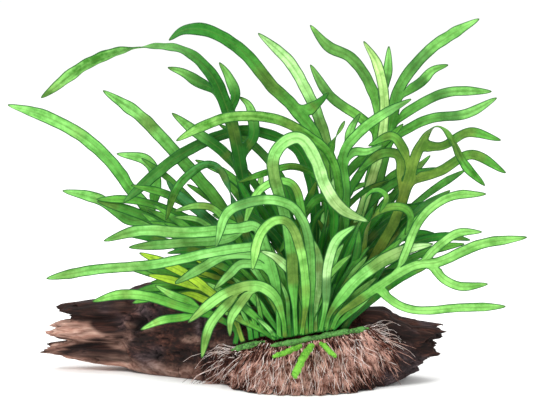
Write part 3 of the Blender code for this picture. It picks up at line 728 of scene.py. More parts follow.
class FrondBlade:
    """Sweeps one frond: a row of vertices across the blade, extruded from the foot to the tip."""

    AGED = "#66792B"  # the olive of old patches
    # painted shade: the dark green that patches one frond in three
    SHADED = "#1F5F21"
    SPREAD = (-1.0, -0.5, 0.0, 0.5, 1.0)  # the places across the blade, in half widths
    MIDDLE = 2
    ROOT_EDGES = 4  # a lobe grows out of this many edges of the margin
    ROW_SHARE = 0.27  # the rows' spacing, in blade widths
    STALK_WIDTH = 4.2
    STALK_SHARE = 0.6  # the blade widens sooner than the plan's bare stalk ends
    TIP_WIDTH = 0.9
    FOOT_LIFT = 3.7
    LEAN_REACH = 200.0
    LEAN_CURVE = 1.15
    LOBE_CURVE = 15.0
    LOBE_STEPS = 120
    LOBE_AIM = 50  # the step that a lobe's first direction is taken from
    LOBE_GAP = 12  # the steps between the places that a lobe is laid through
    LOBE_CLEARANCE = 0.24  # in lobe widths, from the blade's margin
    JOINT_STEPS = 6  # in the line from the blade's midrib to a lobe's
    LOBE_SHARE = 0.88  # a lobe is this much narrower than the blade
    BLADE_RISE = 30.0  # the stalk widens to the full blade over this length
    TIP_LENGTH = 2.4  # in blade widths
    TIP_CURVE = 0.62
    FULL_THICKNESS = 1.9  # the stalk's
    BLADE_SHARE = 0.36  # the blade is this much of the stalk's thickness
    CUP = 0.16
    RIPPLE = 0.11
    RIPPLE_LENGTH = 15.0
    UNEVEN = 0.16  # how far the margin swings in and out
    AGED_AND_SHADE_SHARE = 0.8
    LIGHT_DRIFT = 0.14  # how far one frond is lighter or darker than the next
    WARM_DRIFT = 0.07
    WARMTH = 1.05

    def __init__(self, plan: Frond) -> None:
        """Starts the frond's mesh with its attributes and settles where its foot is."""
        self.plan = plan
        self.seed = sum(ord(letter) * (i + 3) for i, letter in enumerate(plan.name)) % 997
        self.bm = bmesh.new()
        self.tint = self.bm.verts.layers.float_color.new("leaf_tint")
        self.across = self.bm.verts.layers.float.new("across_mm")
        self.along = self.bm.verts.layers.float.new("along_mm")
        self.vein = self.bm.verts.layers.float.new("vein_mm")
        self.rim = self.bm.verts.layers.float.new("rim_mm")
        self.flesh = self.bm.verts.layers.deform.verify()
        self.foot = self.foot_of(plan.row, plan.at)
        self.rows: list[list[bmesh.types.BMVert]] = []
        self.line: list[Vector] = []
        self.reach = 0.0
        self.veins: list[Vector] = []

    @classmethod
    def foot_of(cls, row: str, at: float) -> Vector:
        """Finds where a stalk starts, just above its rhizome."""
        places = [Vector(p) for p in RHIZOME_LINES[row]]
        for before, after in zip(places, places[1:]):
            if at <= after.x:
                break
        part = (at - before.x) / (after.x - before.x)
        return before.lerp(after, part) + Vector((0, 0, cls.FOOT_LIFT))

    def leaned(self, x: float, z: float) -> Vector:
        """Gives the depth of a place of the frond: further from its foot it leans further out."""
        reach = math.hypot(x - self.foot.x, z - self.foot.z)
        depth = self.foot.y + self.plan.lean * (reach / self.LEAN_REACH) ** self.LEAN_CURVE
        return Vector((x, depth, z))

    def turn_at(self, t: float) -> float:
        """Eases between the plan's turns, which are spread evenly along the frond."""
        turns = self.plan.turn
        span = min(int(t * (len(turns) - 1)), len(turns) - 2)
        f = smoothstep(0.0, 1.0, t * (len(turns) - 1) - span)
        return turns[span] * (1 - f) + turns[span + 1] * f

    def half_width(self, width: float, stalk: float, reached: float, length: float) -> float:
        """Half the blade's width: a bare stalk, a full blade and a pointed tip."""
        rise = smoothstep(stalk, stalk + self.BLADE_RISE, reached)
        full = self.STALK_WIDTH + (width - self.STALK_WIDTH) * rise
        left = (length - reached) / (self.TIP_LENGTH * width)
        taper = min(max(left, 0.0), 1.0) ** self.TIP_CURVE
        return (self.TIP_WIDTH + (full - self.TIP_WIDTH) * taper) / 2

    def tone_at(self, t: float) -> Colour:
        """Mixes the frond's three greens, with a little change of its own."""
        stalk, middle, tip = (Vector(linear(tone.value)) for tone in self.plan.tones)
        lower = stalk.lerp(middle, smoothstep(0.1, 0.55, t))
        colour = lower.lerp(tip, smoothstep(0.5, 0.95, t))
        patch = noise.noise(Vector((7.0 * t, self.seed * 0.61, 0.0)))
        # One frond in three, by its seed, gets patches of painted shade in place of the olive.
        olive_and_shade_patch = Vector(linear(self.AGED if self.seed % 3 else self.SHADED))
        colour = colour.lerp(olive_and_shade_patch, self.AGED_AND_SHADE_SHARE * smoothstep(0.1, 0.36, patch) * (1.0 - 0.35 * t))
        light = 1.0 + self.LIGHT_DRIFT * math.sin(self.seed * 1.7)
        warm = self.WARMTH + self.WARM_DRIFT * math.sin(self.seed * 0.9)
        drifts = (light * warm, light, light / warm)
        return (*(min(c * drift, 1.0) for c, drift in zip(colour, drifts)), 1.0)

    def row_places(self, centre: Vector, along: Vector, across: Vector, half: float,
                   reached: float) -> list[Vector]:
        """Places the vertices of one row across the blade.

        Args:
            centre: the place of the midrib.
            along: the midrib's direction.
            across: the direction across the blade.
            half: half the blade's width.
            reached: the distance from the foot, which drives the ripples.

        Returns:
            One place for each value of SPREAD.
        """
        up = across.cross(along).normalized()
        bladed = smoothstep(self.STALK_WIDTH * 0.6, self.STALK_WIDTH * 1.3, half)
        places = []
        for share in self.SPREAD:
            side = math.copysign(1.0, share)
            phase = self.seed * 0.7 + side * 1.9
            wave = math.sin(reached * 2 * math.pi / self.RIPPLE_LENGTH + phase)
            slow = noise.noise(Vector((reached / 9.0, side * 3.1, self.seed * 0.37)))
            edge = half * (1.0 + bladed * self.UNEVEN * slow * abs(share))
            lift = half * bladed * (self.CUP * abs(share) ** 1.5 + self.RIPPLE * wave * share * share)
            places.append(centre + across * (edge * share) + up * lift)
        return places

    def mark(self, row: list[bmesh.types.BMVert], centre: Vector, half: float, reached: float,
             t: float, bladed: float) -> None:
        """Writes a row's attributes: its colour, its place on the blade and its thickness.

        Args:
            row: the vertices across the blade.
            centre: the place of the midrib.
            half: half the blade's width.
            reached: the distance from the foot.
            t: the share of the way to the tip.
            bladed: 0 on the stalk and 1 on the blade.
        """
        tone = self.tone_at(t)
        for vert, share in zip(row, self.SPREAD):
            vert[self.tint] = tone
            vert[self.across] = share * half
            vert[self.along] = reached
            vert[self.flesh][0] = 1.0 - (1.0 - self.BLADE_SHARE) * bladed
        self.veins.append(centre)

    @staticmethod
    def frame_at(line: list[Vector], i: int, turn: float) -> tuple[Vector, Vector]:
        """Finds the directions along and across the blade at one place of a midrib."""
        along = (line[min(i + 1, len(line) - 1)] - line[max(i - 1, 0)]).normalized()
        across = along.cross(Vector((0, -1, 0))).normalized()
        return along, Matrix.Rotation(math.radians(turn), 3, along) @ across

    def sweep(self) -> None:
        """Extrudes the stalk and blade along the midrib."""
        plan = self.plan
        places = [self.foot] + [self.leaned(x, z) for x, z in plan.midrib]
        self.reach = line_length(smooth_line(places, COARSE_STEPS))
        count = max(8, round(self.reach / (self.ROW_SHARE * plan.width)))
        self.line = smooth_line(places, count)
        for i, centre in enumerate(self.line):
            t = i / (count - 1)
            along, across = self.frame_at(self.line, i, self.turn_at(t))
            stalk = self.STALK_SHARE * plan.stalk
            half = self.half_width(plan.width, stalk, t * self.reach, self.reach)
            row_at = self.row_places(centre, along, across, half, t * self.reach)
            if self.rows:
                row = extruded_row(self.bm, self.rows[-1], row_at)
            else:
                row = [self.bm.verts.new(place) for place in row_at]
                for pair in zip(row, row[1:]):
                    self.bm.edges.new(pair)
            self.rows.append(row)
            bladed = smoothstep(0.5 * stalk, stalk + self.BLADE_RISE, t * self.reach)
            self.mark(row, centre, half, t * self.reach, t, bladed)

    def margin_for(self, start: Vector, outward: Vector) -> tuple[int, list[bmesh.types.BMVert]]:
        """Picks the free stretch of margin nearest to where a lobe starts.

        Args:
            start: the lobe's first place, near the midrib.
            outward: the way that the lobe goes.

        Returns:
            The number of the stretch's first row, and the stretch's vertices.
        """
        choices = []
        for first in range(2, len(self.rows) - self.ROOT_EDGES - 1):
            centre_row = self.rows[first + self.MIDDLE]
            centre = centre_row[self.MIDDLE].co
            side = max((0, -1), key=lambda s: (centre_row[s].co - centre).dot(outward))
            chain = [self.rows[first + k][side] for k in range(self.ROOT_EDGES + 1)]
            pairs = zip(chain, chain[1:])
            if all(len(self.bm.edges.get(pair).link_faces) == 1 for pair in pairs):
                choices.append(((centre - start).length, first, side))
        _, first, side = min(choices)
        return first, [self.rows[first + k][side] for k in range(self.ROOT_EDGES + 1)]

    def grow_lobe(self, lobe: tuple[Place, ...], bend: float) -> None:
        """Extrudes a lobe out of the margin, easing from the margin's line to the lobe's own.

        Args:
            lobe: the lobe's (x, z) places.
            bend: how far it bends out of the blade.
        """
        width = self.plan.width * self.LOBE_SHARE
        fine = smooth_line([self.leaned(x, z) for x, z in lobe], self.LOBE_STEPS)
        for place in fine[::-1]:
            out = math.hypot(place.x - fine[0].x, place.z - fine[0].z)
            place.y += bend * (1.0 - math.exp(-out / self.LOBE_CURVE))
        first, chain = self.margin_for(fine[0], (fine[self.LOBE_AIM] - fine[0]).normalized())
        middle = self.rows[first + self.MIDDLE][self.MIDDLE].co.copy()
        clear = (chain[self.MIDDLE].co - middle).length + self.LOBE_CLEARANCE * width
        start = next(i for i, place in enumerate(fine) if (place - middle).length > clear)
        length = line_length(fine[start:])
        count = max(4, round(length / (self.ROW_SHARE * width)))
        between = fine[start + self.LOBE_GAP // 2::self.LOBE_GAP]
        stations = smooth_line([fine[start]] + between + [fine[-1]], count)
        begun = (first + self.MIDDLE) / (len(self.rows) - 1)
        row, root = chain, [vert.co.copy() for vert in chain]
        way = root[-1] - root[0]
        for i, centre in enumerate(stations):
            t = i / (count - 1)
            along, across = self.frame_at(stations, i, self.turn_at(begun) * (1 - t))
            if across.dot(way) < 0:
                across.negate()
            way = across
            half = self.half_width(width, -2 * self.BLADE_RISE, t * length, length)
            ideal = self.row_places(centre, along, across, half, begun * self.reach + t * length)
            ease = smoothstep(-0.5, 3.5, i)
            shift = centre - root[self.MIDDLE]
            places = [(vertex + shift).lerp(place, ease) for vertex, place in zip(root, ideal)]
            row = extruded_row(self.bm, row, places)
            self.mark(row, centre, half, begun * self.reach + t * length,
                      begun + (1 - begun) * t, 1.0)
        for i in range(self.JOINT_STEPS):
            self.veins.append(middle.lerp(stations[0], i / self.JOINT_STEPS))

    def measure_edges(self) -> None:
        """Writes how far each vertex is from the margin and from the nearest midrib."""
        border = [edge for edge in self.bm.edges if len(edge.link_faces) == 1]
        margin = KDTree(3 * len(border))
        for i, edge in enumerate(border):
            for k, share in enumerate((0.0, 1 / 3, 2 / 3)):
                margin.insert(edge.verts[0].co.lerp(edge.verts[1].co, share), 3 * i + k)
        margin.balance()
        midribs = KDTree(2 * len(self.veins))
        for i, place in enumerate(self.veins):
            midribs.insert(place, i)
        midribs.balance()
        for vert in self.bm.verts:
            vert[self.rim] = margin.find(vert.co)[2]
            vert[self.vein] = midribs.find(vert.co)[2]

    def face_front(self) -> None:
        """Turns the faces so that the upper side looks out of the blade's own front."""
        along, across = self.frame_at(self.line, 1, self.turn_at(0.0))
        if self.rows[0][0].link_faces[0].normal.dot(across.cross(along)) < 0:
            bmesh.ops.reverse_faces(self.bm, faces=self.bm.faces)

    def build(self, materials: list[bpy.types.Material]) -> bpy.types.Object:
        """Makes the finished frond, which stands for its node.

        Args:
            materials: the finishes of the upper side and of the underside.

        Returns:
            The frond's object.
        """
        self.sweep()
        for lobe, bend in zip(self.plan.lobes, self.plan.bends):
            self.grow_lobe(lobe, bend)
        self.bm.normal_update()
        self.face_front()
        self.measure_edges()
        obj = finished(f"{self.plan.name}_leaf", self.bm, materials)
        obj.vertex_groups.new(name="flesh")
        wall = obj.modifiers.new("thickness", "SOLIDIFY")
        wall.thickness = self.FULL_THICKNESS * MM
        wall.offset = 0.0
        wall.vertex_group = "flesh"
        wall.material_offset = 1
        rounding = obj.modifiers.new("rounding", "SUBSURF")
        rounding.levels = 1
        rounding.render_levels = 1
        return obj


@dataclass
class FernFronds:
    """Every frond of the clump."""

    plans: tuple[Frond, ...] = FRONDS

    def build(self) -> list[bpy.types.Object]:
        """Sweeps each frond and gives it its leaf finish."""
        materials = [UPPER_SIDE.material(), UNDER_SIDE.material()]
        made = []
        for plan in self.plans:
            leaf = FrondBlade(plan).build(materials)
            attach(leaf, BODY)
            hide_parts(plan.name)
            made.append(leaf)
        return made


@dataclass(frozen=True)
class Tuft:
    """A run of small leaves along one rhizome: how many, where, and which way they go.

    start and end: where along X they stand.
    fan: the angle from upright at the two ends, in degrees, positive to the right.
    curl: how much further each leaf bends along its length, in degrees.
    length and width: their least and most, in millimetres.
    depth: how far they lean forward (-) or back (+), least and most.
    """

    name: str
    row: str
    count: int
    start: float
    end: float
    fan: tuple[float, float]
    curl: tuple[float, float]
    length: tuple[float, float]
    width: tuple[float, float]
    depth: tuple[float, float]
    tones: tuple[Tone, Tone, Tone]


@dataclass
class InnerLeaves:
    """The small leaves that crowd the heart of the clump, too many for the frame's nodes."""

    seed: int = 23
    stray: float = 7.0  # how far one leaf's way differs from the fan's, in degrees
    twist: float = 42.0  # how far a blade turns about its midrib at most, in degrees
    stalk: float = 12.0
    places: int = 6

    # The tufts' dark tones are partly painted shade: the leaves deep in the clump, and the low ones
    # most, are coloured darker than the fronds outside.
    TUFTS = (
        Tuft("inner_leaves_back", "back", 13, 0, 72, (-48, 38), (20, 70), (105, 160), (6, 8),
             (-38, 44), (DARK, DEEP, MID)),
        Tuft("inner_leaves_middle", "middle", 15, 3, 78, (-50, 40), (25, 85), (80, 130), (5.5, 8),
             (-48, 48), (DARK, DARK, DEEP)),
        Tuft("inner_leaves_core", "middle", 11, 20, 70, (-22, 24), (5, 30), (60, 105), (6, 8),
             (-42, 36), (DARK, DEEP, DEEP)),
        Tuft("inner_leaves_left", "middle", 9, 2, 22, (-72, -48), (5, 35), (75, 120), (6, 8),
             (-32, 34), (DARK, DEEP, MID)),
        Tuft("inner_leaves_young", "middle", 6, 1, 14, (-74, -52), (5, 30), (46, 70), (7, 9),
             (-22, 8), (DARK, OLIVE, YOUNG)),
        Tuft("inner_leaves_low", "back", 15, -3, 77, (-60, 50), (5, 40), (32, 60), (7, 9),
             (-40, 24), (DARK, DARK, DARK)),
        Tuft("inner_leaves_front", "front", 15, 18, 64, (-46, 44), (5, 34), (40, 85), (6, 8.5),
             (-48, 4), (DEEP, MID, FRESH)),
        Tuft("inner_leaves_between", "between", 12, 8, 76, (-44, 42), (10, 55), (60, 115), (6, 8.5),
             (-14, 34), (DARK, DEEP, MID)),
        Tuft("inner_leaves_rear", "rear", 13, 4, 76, (-46, 44), (15, 60), (80, 150), (6, 8.5),
             (-16, 46), (DARK, DEEP, MID)),
    )

    def plan(self, tuft: Tuft, i: int, draw: random.Random) -> Frond:
        """Lays out one leaf of a tuft as an arc that bends over as it grows."""
        share = (i + draw.uniform(0.2, 0.8)) / tuft.count
        at = tuft.start + (tuft.end - tuft.start) * share
        angle = tuft.fan[0] + (tuft.fan[1] - tuft.fan[0]) * share + draw.gauss(0.0, self.stray)
        curl = math.copysign(draw.uniform(*tuft.curl), angle)
        length = draw.uniform(*tuft.length)
        foot = FrondBlade.foot_of(tuft.row, at)
        x, z = foot.x, foot.z
        midrib = []
        for k in range(self.places):
            way = math.radians(angle + curl * (k / (self.places - 1)) ** 1.4)
            x += math.sin(way) * length / self.places
            z += math.cos(way) * length / self.places
            midrib.append((x, z))
        turns = tuple(draw.uniform(-self.twist, self.twist) for _ in range(4))
        return Frond(f"{tuft.name}_{i}", tuft.row, at, draw.uniform(*tuft.depth),
                     draw.uniform(*tuft.width), self.stalk, turns, tuft.tones, tuple(midrib))

    def build(self) -> list[bpy.types.Object]:
        """Sweeps every tuft and joins its leaves into one piece."""
        draw = random.Random(self.seed)
        materials = [UPPER_SIDE.material(), UNDER_SIDE.material()]
        made = []
        for tuft in self.TUFTS:
            leaves = [applied(FrondBlade(self.plan(tuft, i, draw)).build(materials))
                      for i in range(tuft.count)]
            piece = finished(tuft.name, in_millimetres([leaf.data for leaf in leaves]), materials)
            for leaf in leaves:
                bpy.data.objects.remove(leaf)
            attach(piece, BODY)
            made.append(piece)
        return made


@dataclass
class Driftwood:
    """The trunk and its branches, joined again and worn to open grain. Lengths in millimetres."""

    nodes: dict[str, bpy.types.Object]
    voxel: float = 1.15
    overlap: float = 2.0
    swell: float = 1.08  # the branches meet along their sides, with grooves between them
    softening: int = 22
    blending: int = 110  # the trunk's end runs out smoothly into the branches
    joint_x: float = -94.0
    joint_width: float = 11.0
    bend_length: float = 90.0
    grain_bend: float = 5.0
    grain_size: Size = (60.0, 3.2, 3.2)
    fine_size: Size = (24.0, 1.8, 1.8)
    flute_size: Size = (75.0, 12.0, 10.0)
    seam_size: Size = (130.0, 7.0, 7.0)
    crack_size: Size = (40.0, 30.0, 30.0)
    mottle_size: Size = (14.0, 9.0, 6.0)
    stain_size: Size = (32.0, 14.0, 6.5)
    face_size: Size = (50.0, 18.0, 13.0)
    grain_depth: float = 1.0
    flute_depth: float = 2.4
    crack_depth: float = 2.4
    floor_band: float = 5.0
    knot: Size = (-85.0, 24.0, 40.0)
    knot_radius: float = 10.0
    knot_depth: float = 8.0
    knot_lip: float = 1.4
    knot_flatness: float = 1.6  # the hollow is this much longer than it is high
    split_x: float = -36.0
    split_top: tuple[float, float] = (52.0, 44.0)  # it fades out between these heights
    left_break: tuple[float, float] = (-118.0, -148.0)  # the ends are splintered from here to here
    right_break: tuple[float, float] = (112.0, 140.0)
    splinter_size: Size = (1.0, 6.0, 3.4)
    sliver_size: Size = (1.0, 2.2, 1.5)

    BRANCHES = ("driftwood_upper_limb", "driftwood_left_plank", "driftwood_lower_prong")

    def joined(self) -> bpy.types.Object:
        """Joins copies of the wood's nodes into one closed mesh, even and a little softened."""
        wood = self.copy_of("driftwood_trunk", 0.0, 1.0)
        for name in self.BRANCHES:
            branch = self.copy_of(name, self.overlap, self.swell)
            join = wood.modifiers.new(name, "BOOLEAN")
            join.operation = "UNION"
            join.object = branch
            applied(wood)
            bpy.data.objects.remove(branch)
        evened(wood, self.voxel, self.softening)
        joint = wood.vertex_groups.new(name="joint")
        for vert in wood.data.vertices:
            off = (vert.co.x / MM - self.joint_x) / self.joint_width
            joint.add([vert.index], math.exp(-off * off), "REPLACE")
        blend = wood.modifiers.new("blend", "SMOOTH")
        blend.factor = 0.5
        blend.iterations = self.blending
        blend.vertex_group = joint.name
        applied(wood)
        wood.vertex_groups.clear()
        return wood

    def copy_of(self, name: str, shift: float, swell: float) -> bpy.types.Object:
        """Copies a node as a welded mesh.

        Args:
            name: the node.
            shift: how far the copy moves along X, so that it overlaps its neighbour.
            swell: how much taller the copy is than the node, about its own middle.

        Returns:
            The copy.
        """
        bm = in_millimetres([self.nodes[name].data], NODE_WELD)
        middle = (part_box(name)[0].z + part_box(name)[1].z) / 2 / MM
        bmesh.ops.scale(bm, vec=(1, 1, swell), verts=bm.verts,
                        space=Matrix.Translation((0, 0, -middle)))
        bmesh.ops.translate(bm, vec=(shift, 0, 0), verts=bm.verts)
        return finished(f"{name}_copy", bm, [])

    def relief_at(self, place: Vector, normal: Vector) -> tuple[float, float]:
        """Works out how the worn surface stands at one place.

        Args:
            place: the place, in millimetres.
            normal: the surface's normal there.

        Returns:
            How far the surface moves along its normal, and how much painted shade it gets in cracks and
            hollows (0 to 1).
        """
        x, y, z = place
        bend = self.grain_bend * noise.noise(Vector((x / self.bend_length, 0.3, 2.1)))
        bent = Vector((x, y + bend, z + bend))
        grain = noise_at(bent, self.grain_size)
        fine = noise_at(bent, self.fine_size, 7.0)
        flute = noise_at(bent, self.flute_size, 3.0)
        seam = noise_at(bent, self.seam_size, -5.0)
        crack = 1.0 - smoothstep(0.0, 0.05, abs(seam - 0.12))
        crack *= smoothstep(-0.1, 0.25, noise_at(place, self.crack_size))
        rise = self.grain_depth * (0.8 * grain + 0.4 * fine) + self.flute_depth * flute
        rise -= self.crack_depth * crack
        off = place - Vector(self.knot)
        off.z *= self.knot_flatness
        reach = off.length / self.knot_radius
        bowl = max(0.0, 1.0 - reach * reach) ** 0.8 if normal.y < 0.2 else 0.0
        rise -= self.knot_depth * bowl - self.knot_lip * math.exp(-((reach - 1.2) / 0.22) ** 2)
        off_split = abs(x - self.split_x - 3.0 * noise.noise(Vector((z / 12, y / 30, 4.4))))
        split = (1.0 - smoothstep(0.4, 2.0, off_split)) * smoothstep(0.1, 0.5, -normal.y)
        split *= smoothstep(*self.split_top, z)
        rise -= self.crack_depth * split
        low = smoothstep(0.1, 0.45, -grain)
        groove = smoothstep(0.15, 0.5, -flute)
        # the painted shade of the cracks, the knot's bowl, the split and the grooves
        depth = 0.8 * crack + 1.2 * bowl + 0.9 * split + 0.3 * low + 0.35 * groove
        return rise, min(1.0, depth)

    def splinter_at(self, place: Vector) -> float:
        """Works out how far the broken ends are pulled out or snapped back along X."""
        left = smoothstep(*self.left_break, place.x)
        right = smoothstep(*self.right_break, place.x)
        across = Vector((0.0, place.y, place.z))
        jag = noise_at(across, self.splinter_size, 0.5) + 0.5 * noise_at(across, self.sliver_size, 4.0)
        return left * (12.0 * jag + 2.0) + right * (9.0 * jag - 2.0)

    def worn_at(self, place: Vector) -> float:
        """Works out how far the dark skin is worn off to pale wood, from 0 to 1."""
        mottle = noise_at(place, self.mottle_size)
        left = smoothstep(-88.0, -118.0, place.x + 20.0 * mottle)
        left *= 1.0 - smoothstep(37.5, 41.0, place.z + 1.5 * mottle)
        stain = noise_at(place, self.stain_size) - 0.08 * smoothstep(28.0, 18.0, place.z)
        left *= smoothstep(-0.34, 0.0, stain)
        face = smoothstep(0.3, 0.55, noise_at(place, self.face_size))
        face *= 1.0 - smoothstep(70.0, 105.0, place.x)
        face *= smoothstep(-120.0, -90.0, place.x)
        low = smoothstep(16.0, 4.0, place.z + 5.0 * mottle) * smoothstep(40.0, -60.0, place.x)
        return min(1.0, left * (0.8 + 0.5 * mottle) + 0.35 * face + 0.4 * low)

    def wear(self, wood: bpy.types.Object) -> None:
        """Moves the even mesh into open grain, cracks, the knot's bowl and splintered ends."""
        mesh = wood.data
        crevice_shade = mesh.attributes.new("crevice_shade", "FLOAT", "POINT")
        worn_end = mesh.attributes.new("worn_end", "FLOAT", "POINT")
        depths, ends = [], []
        for vert, normal in [(v, v.normal.copy()) for v in mesh.vertices]:
            place = vert.co / MM
            rise, depth = self.relief_at(place, normal)
            above = smoothstep(0.0, self.floor_band, place.z)
            moved = place + normal * (rise * above)
            moved.x += self.splinter_at(place) * above
            moved.z = max(moved.z, 0.0)
            vert.co = moved * MM
            depths.append(depth)
            ends.append(self.worn_at(place))
        crevice_shade.data.foreach_set("value", depths)
        worn_end.data.foreach_set("value", ends)
        mesh.update()

    def build(self) -> list[bpy.types.Object]:
        """Makes the driftwood, which stands for the trunk and its branches."""
        wood = self.joined()
        wood.name = "driftwood_worn"
        wood.data.name = "driftwood_worn"
        self.wear(wood)
        dressed(wood, WOOD.material())
        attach(wood, BODY)
        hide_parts("driftwood_trunk", *self.BRANCHES)
        return [wood]


def round_curve(name: str, radius: float, resolution: int) -> bpy.types.Curve:
    """Starts a curve with a round section and closed ends, its radius in millimetres."""
    curve = bpy.data.curves.new(name, "CURVE")
    curve.dimensions = "3D"
    curve.bevel_depth = radius * MM
    curve.bevel_resolution = resolution
    curve.use_fill_caps = True
    return curve


def add_strand(curve: bpy.types.Curve, line: list[Vector], shares: list[float]) -> None:
    """Adds one strand to a curve.

    Args:
        curve: the curve.
        line: the strand's places, in millimetres.
        shares: how much of the curve's radius the strand has at each place.
    """
    spline = curve.splines.new("POLY")
    spline.points.add(len(line) - 1)
    for point, place, share in zip(spline.points, line, shares):
        point.co = (*(place * MM), 1.0)
        point.radius = share


def meshed(name: str, curve: bpy.types.Curve, material: bpy.types.Material) -> bpy.types.Object:
    """Turns a bevelled curve to a welded mesh object.

    Args:
        name: the new object's name.
        curve: the curve, which is left unused.
        material: its finish.

    Returns:
        The mesh object.
    """
    guide = bpy.data.objects.new(f"{name}_guide", curve)
    bpy.context.scene.collection.objects.link(guide)
    graph = bpy.context.evaluated_depsgraph_get()
    mesh = bpy.data.meshes.new_from_object(guide.evaluated_get(graph))
    bpy.data.objects.remove(guide)
    return finished(name, in_millimetres([mesh], CURVE_WELD), [material])


@dataclass(frozen=True)
class Rod:
    """One length of rhizome: its node, its radius, how blunt its ends are and its places."""

    node: str
    radius: float
    blunt: float
    finish: BarkFinish
    places: tuple[Size, ...]


@dataclass
class Rhizome:
    """The creeping rhizome, its hidden branches and its cut stubs. Lengths in millimetres."""

    seed: int = 5  # noise vectors differ from run to run unless they are seeded
    roundness: int = 4
    ring_gap: float = 0.8
    end_length: float = 7.0
    wander: float = 0.9
    mean_share: float = 0.86  # the rod's mean radius, as a share of its full one
    swell: float = 0.26
    lump_depth: float = 0.45

    RODS = (
        Rod("rhizome_left", 2.5, 0.35, BARK, RHIZOME_LINES["left"]),
        Rod("rhizome_front", 2.5, 0.3, BARK, RHIZOME_LINES["front"]),
        # The middle and back rhizomes take the darker bark as painted shade.
        Rod("rhizome_middle", 2.5, 0.5, SHADED_BARK, RHIZOME_LINES["middle"]),
        Rod("rhizome_back", 2.5, 0.5, SHADED_BARK, RHIZOME_LINES["back"]),
        Rod("rhizome_stub_left", 2.3, 0.75, STUB_BARK, ((39, -48.5, 35), (28, -58, 32), (18, -67, 30))),
        Rod("rhizome_stub_middle", 3.1, 0.8, STUB_BARK,
            ((47, -51, 36), (40, -66, 29), (33, -80, 17))),
        Rod("rhizome_stub_right", 2.3, 0.75, STUB_BARK,
            ((53, -49.5, 37), (58, -57, 34), (64, -66, 30))),
    )

    def grown(self, rod: Rod) -> bpy.types.Object:
        """Makes one length of rhizome: a rod that wanders, swells and narrows to its ends."""
        places = [Vector(place) for place in rod.places]
        length = line_length(smooth_line(places, COARSE_STEPS))
        line = smooth_line(places, round(length / self.ring_gap))
        curve = round_curve(rod.node, rod.radius, self.roundness)
        strayed, shares = [], []
        for i, place in enumerate(line):
            to_end = min(i, len(line) - 1 - i) * self.ring_gap
            ends = rod.blunt + (1.0 - rod.blunt) * smoothstep(0.0, self.end_length, to_end)
            swell = self.mean_share + self.swell * noise.noise(Vector((place.x / 5.0, place.y, 0.0)))
            off = noise.noise_vector(Vector((place.x / 9.0, 0.0, place.y))) * self.wander
            strayed.append(place + off)
            shares.append(ends * swell)
        add_strand(curve, strayed, shares)
        bark = meshed(f"{rod.node}_bark", curve, rod.finish.material())
        for vert, normal in [(v, v.normal.copy()) for v in bark.data.vertices]:
            place = vert.co / MM
            lump = noise.noise(place / 2.6) + 0.5 * noise.noise(place / 1.1)
            vert.co = (place + normal * (self.lump_depth * lump)) * MM
        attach(bark, BODY)
        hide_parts(rod.node)
        return bark

    def build(self) -> list[bpy.types.Object]:
        """Makes every length of rhizome and every stub."""
        noise.seed_set(self.seed)
        return [self.grown(rod) for rod in self.RODS]


@dataclass(frozen=True)
class RootCrop:
    """One kind of root fibre. Lengths in millimetres, angles in degrees.

    start and end: where along X the fibres leave the rhizome.
    fan: their way at the two ends: 0 is straight down and 90 is to the right.
    length: their least and most.
    lift: how far they stand off what lies behind them, least and most.
    curl: how far they weave from side to side.
    scatter: how much their ways differ.
    rows: the rhizome branches that they tie to the wood, if they are anchoring roots.
    """

    name: str
    finish: FibreFinish
    count: int
    thickness: float
    start: float = 0.0
    end: float = 0.0
    fan: tuple[float, float] = (0.0, 0.0)
    length: tuple[float, float] = (0.0, 0.0)
    lift: tuple[float, float] = (0.0, 0.0)
    curl: float = 0.0
    scatter: float = 13.0
    rows: tuple[str, ...] = ()


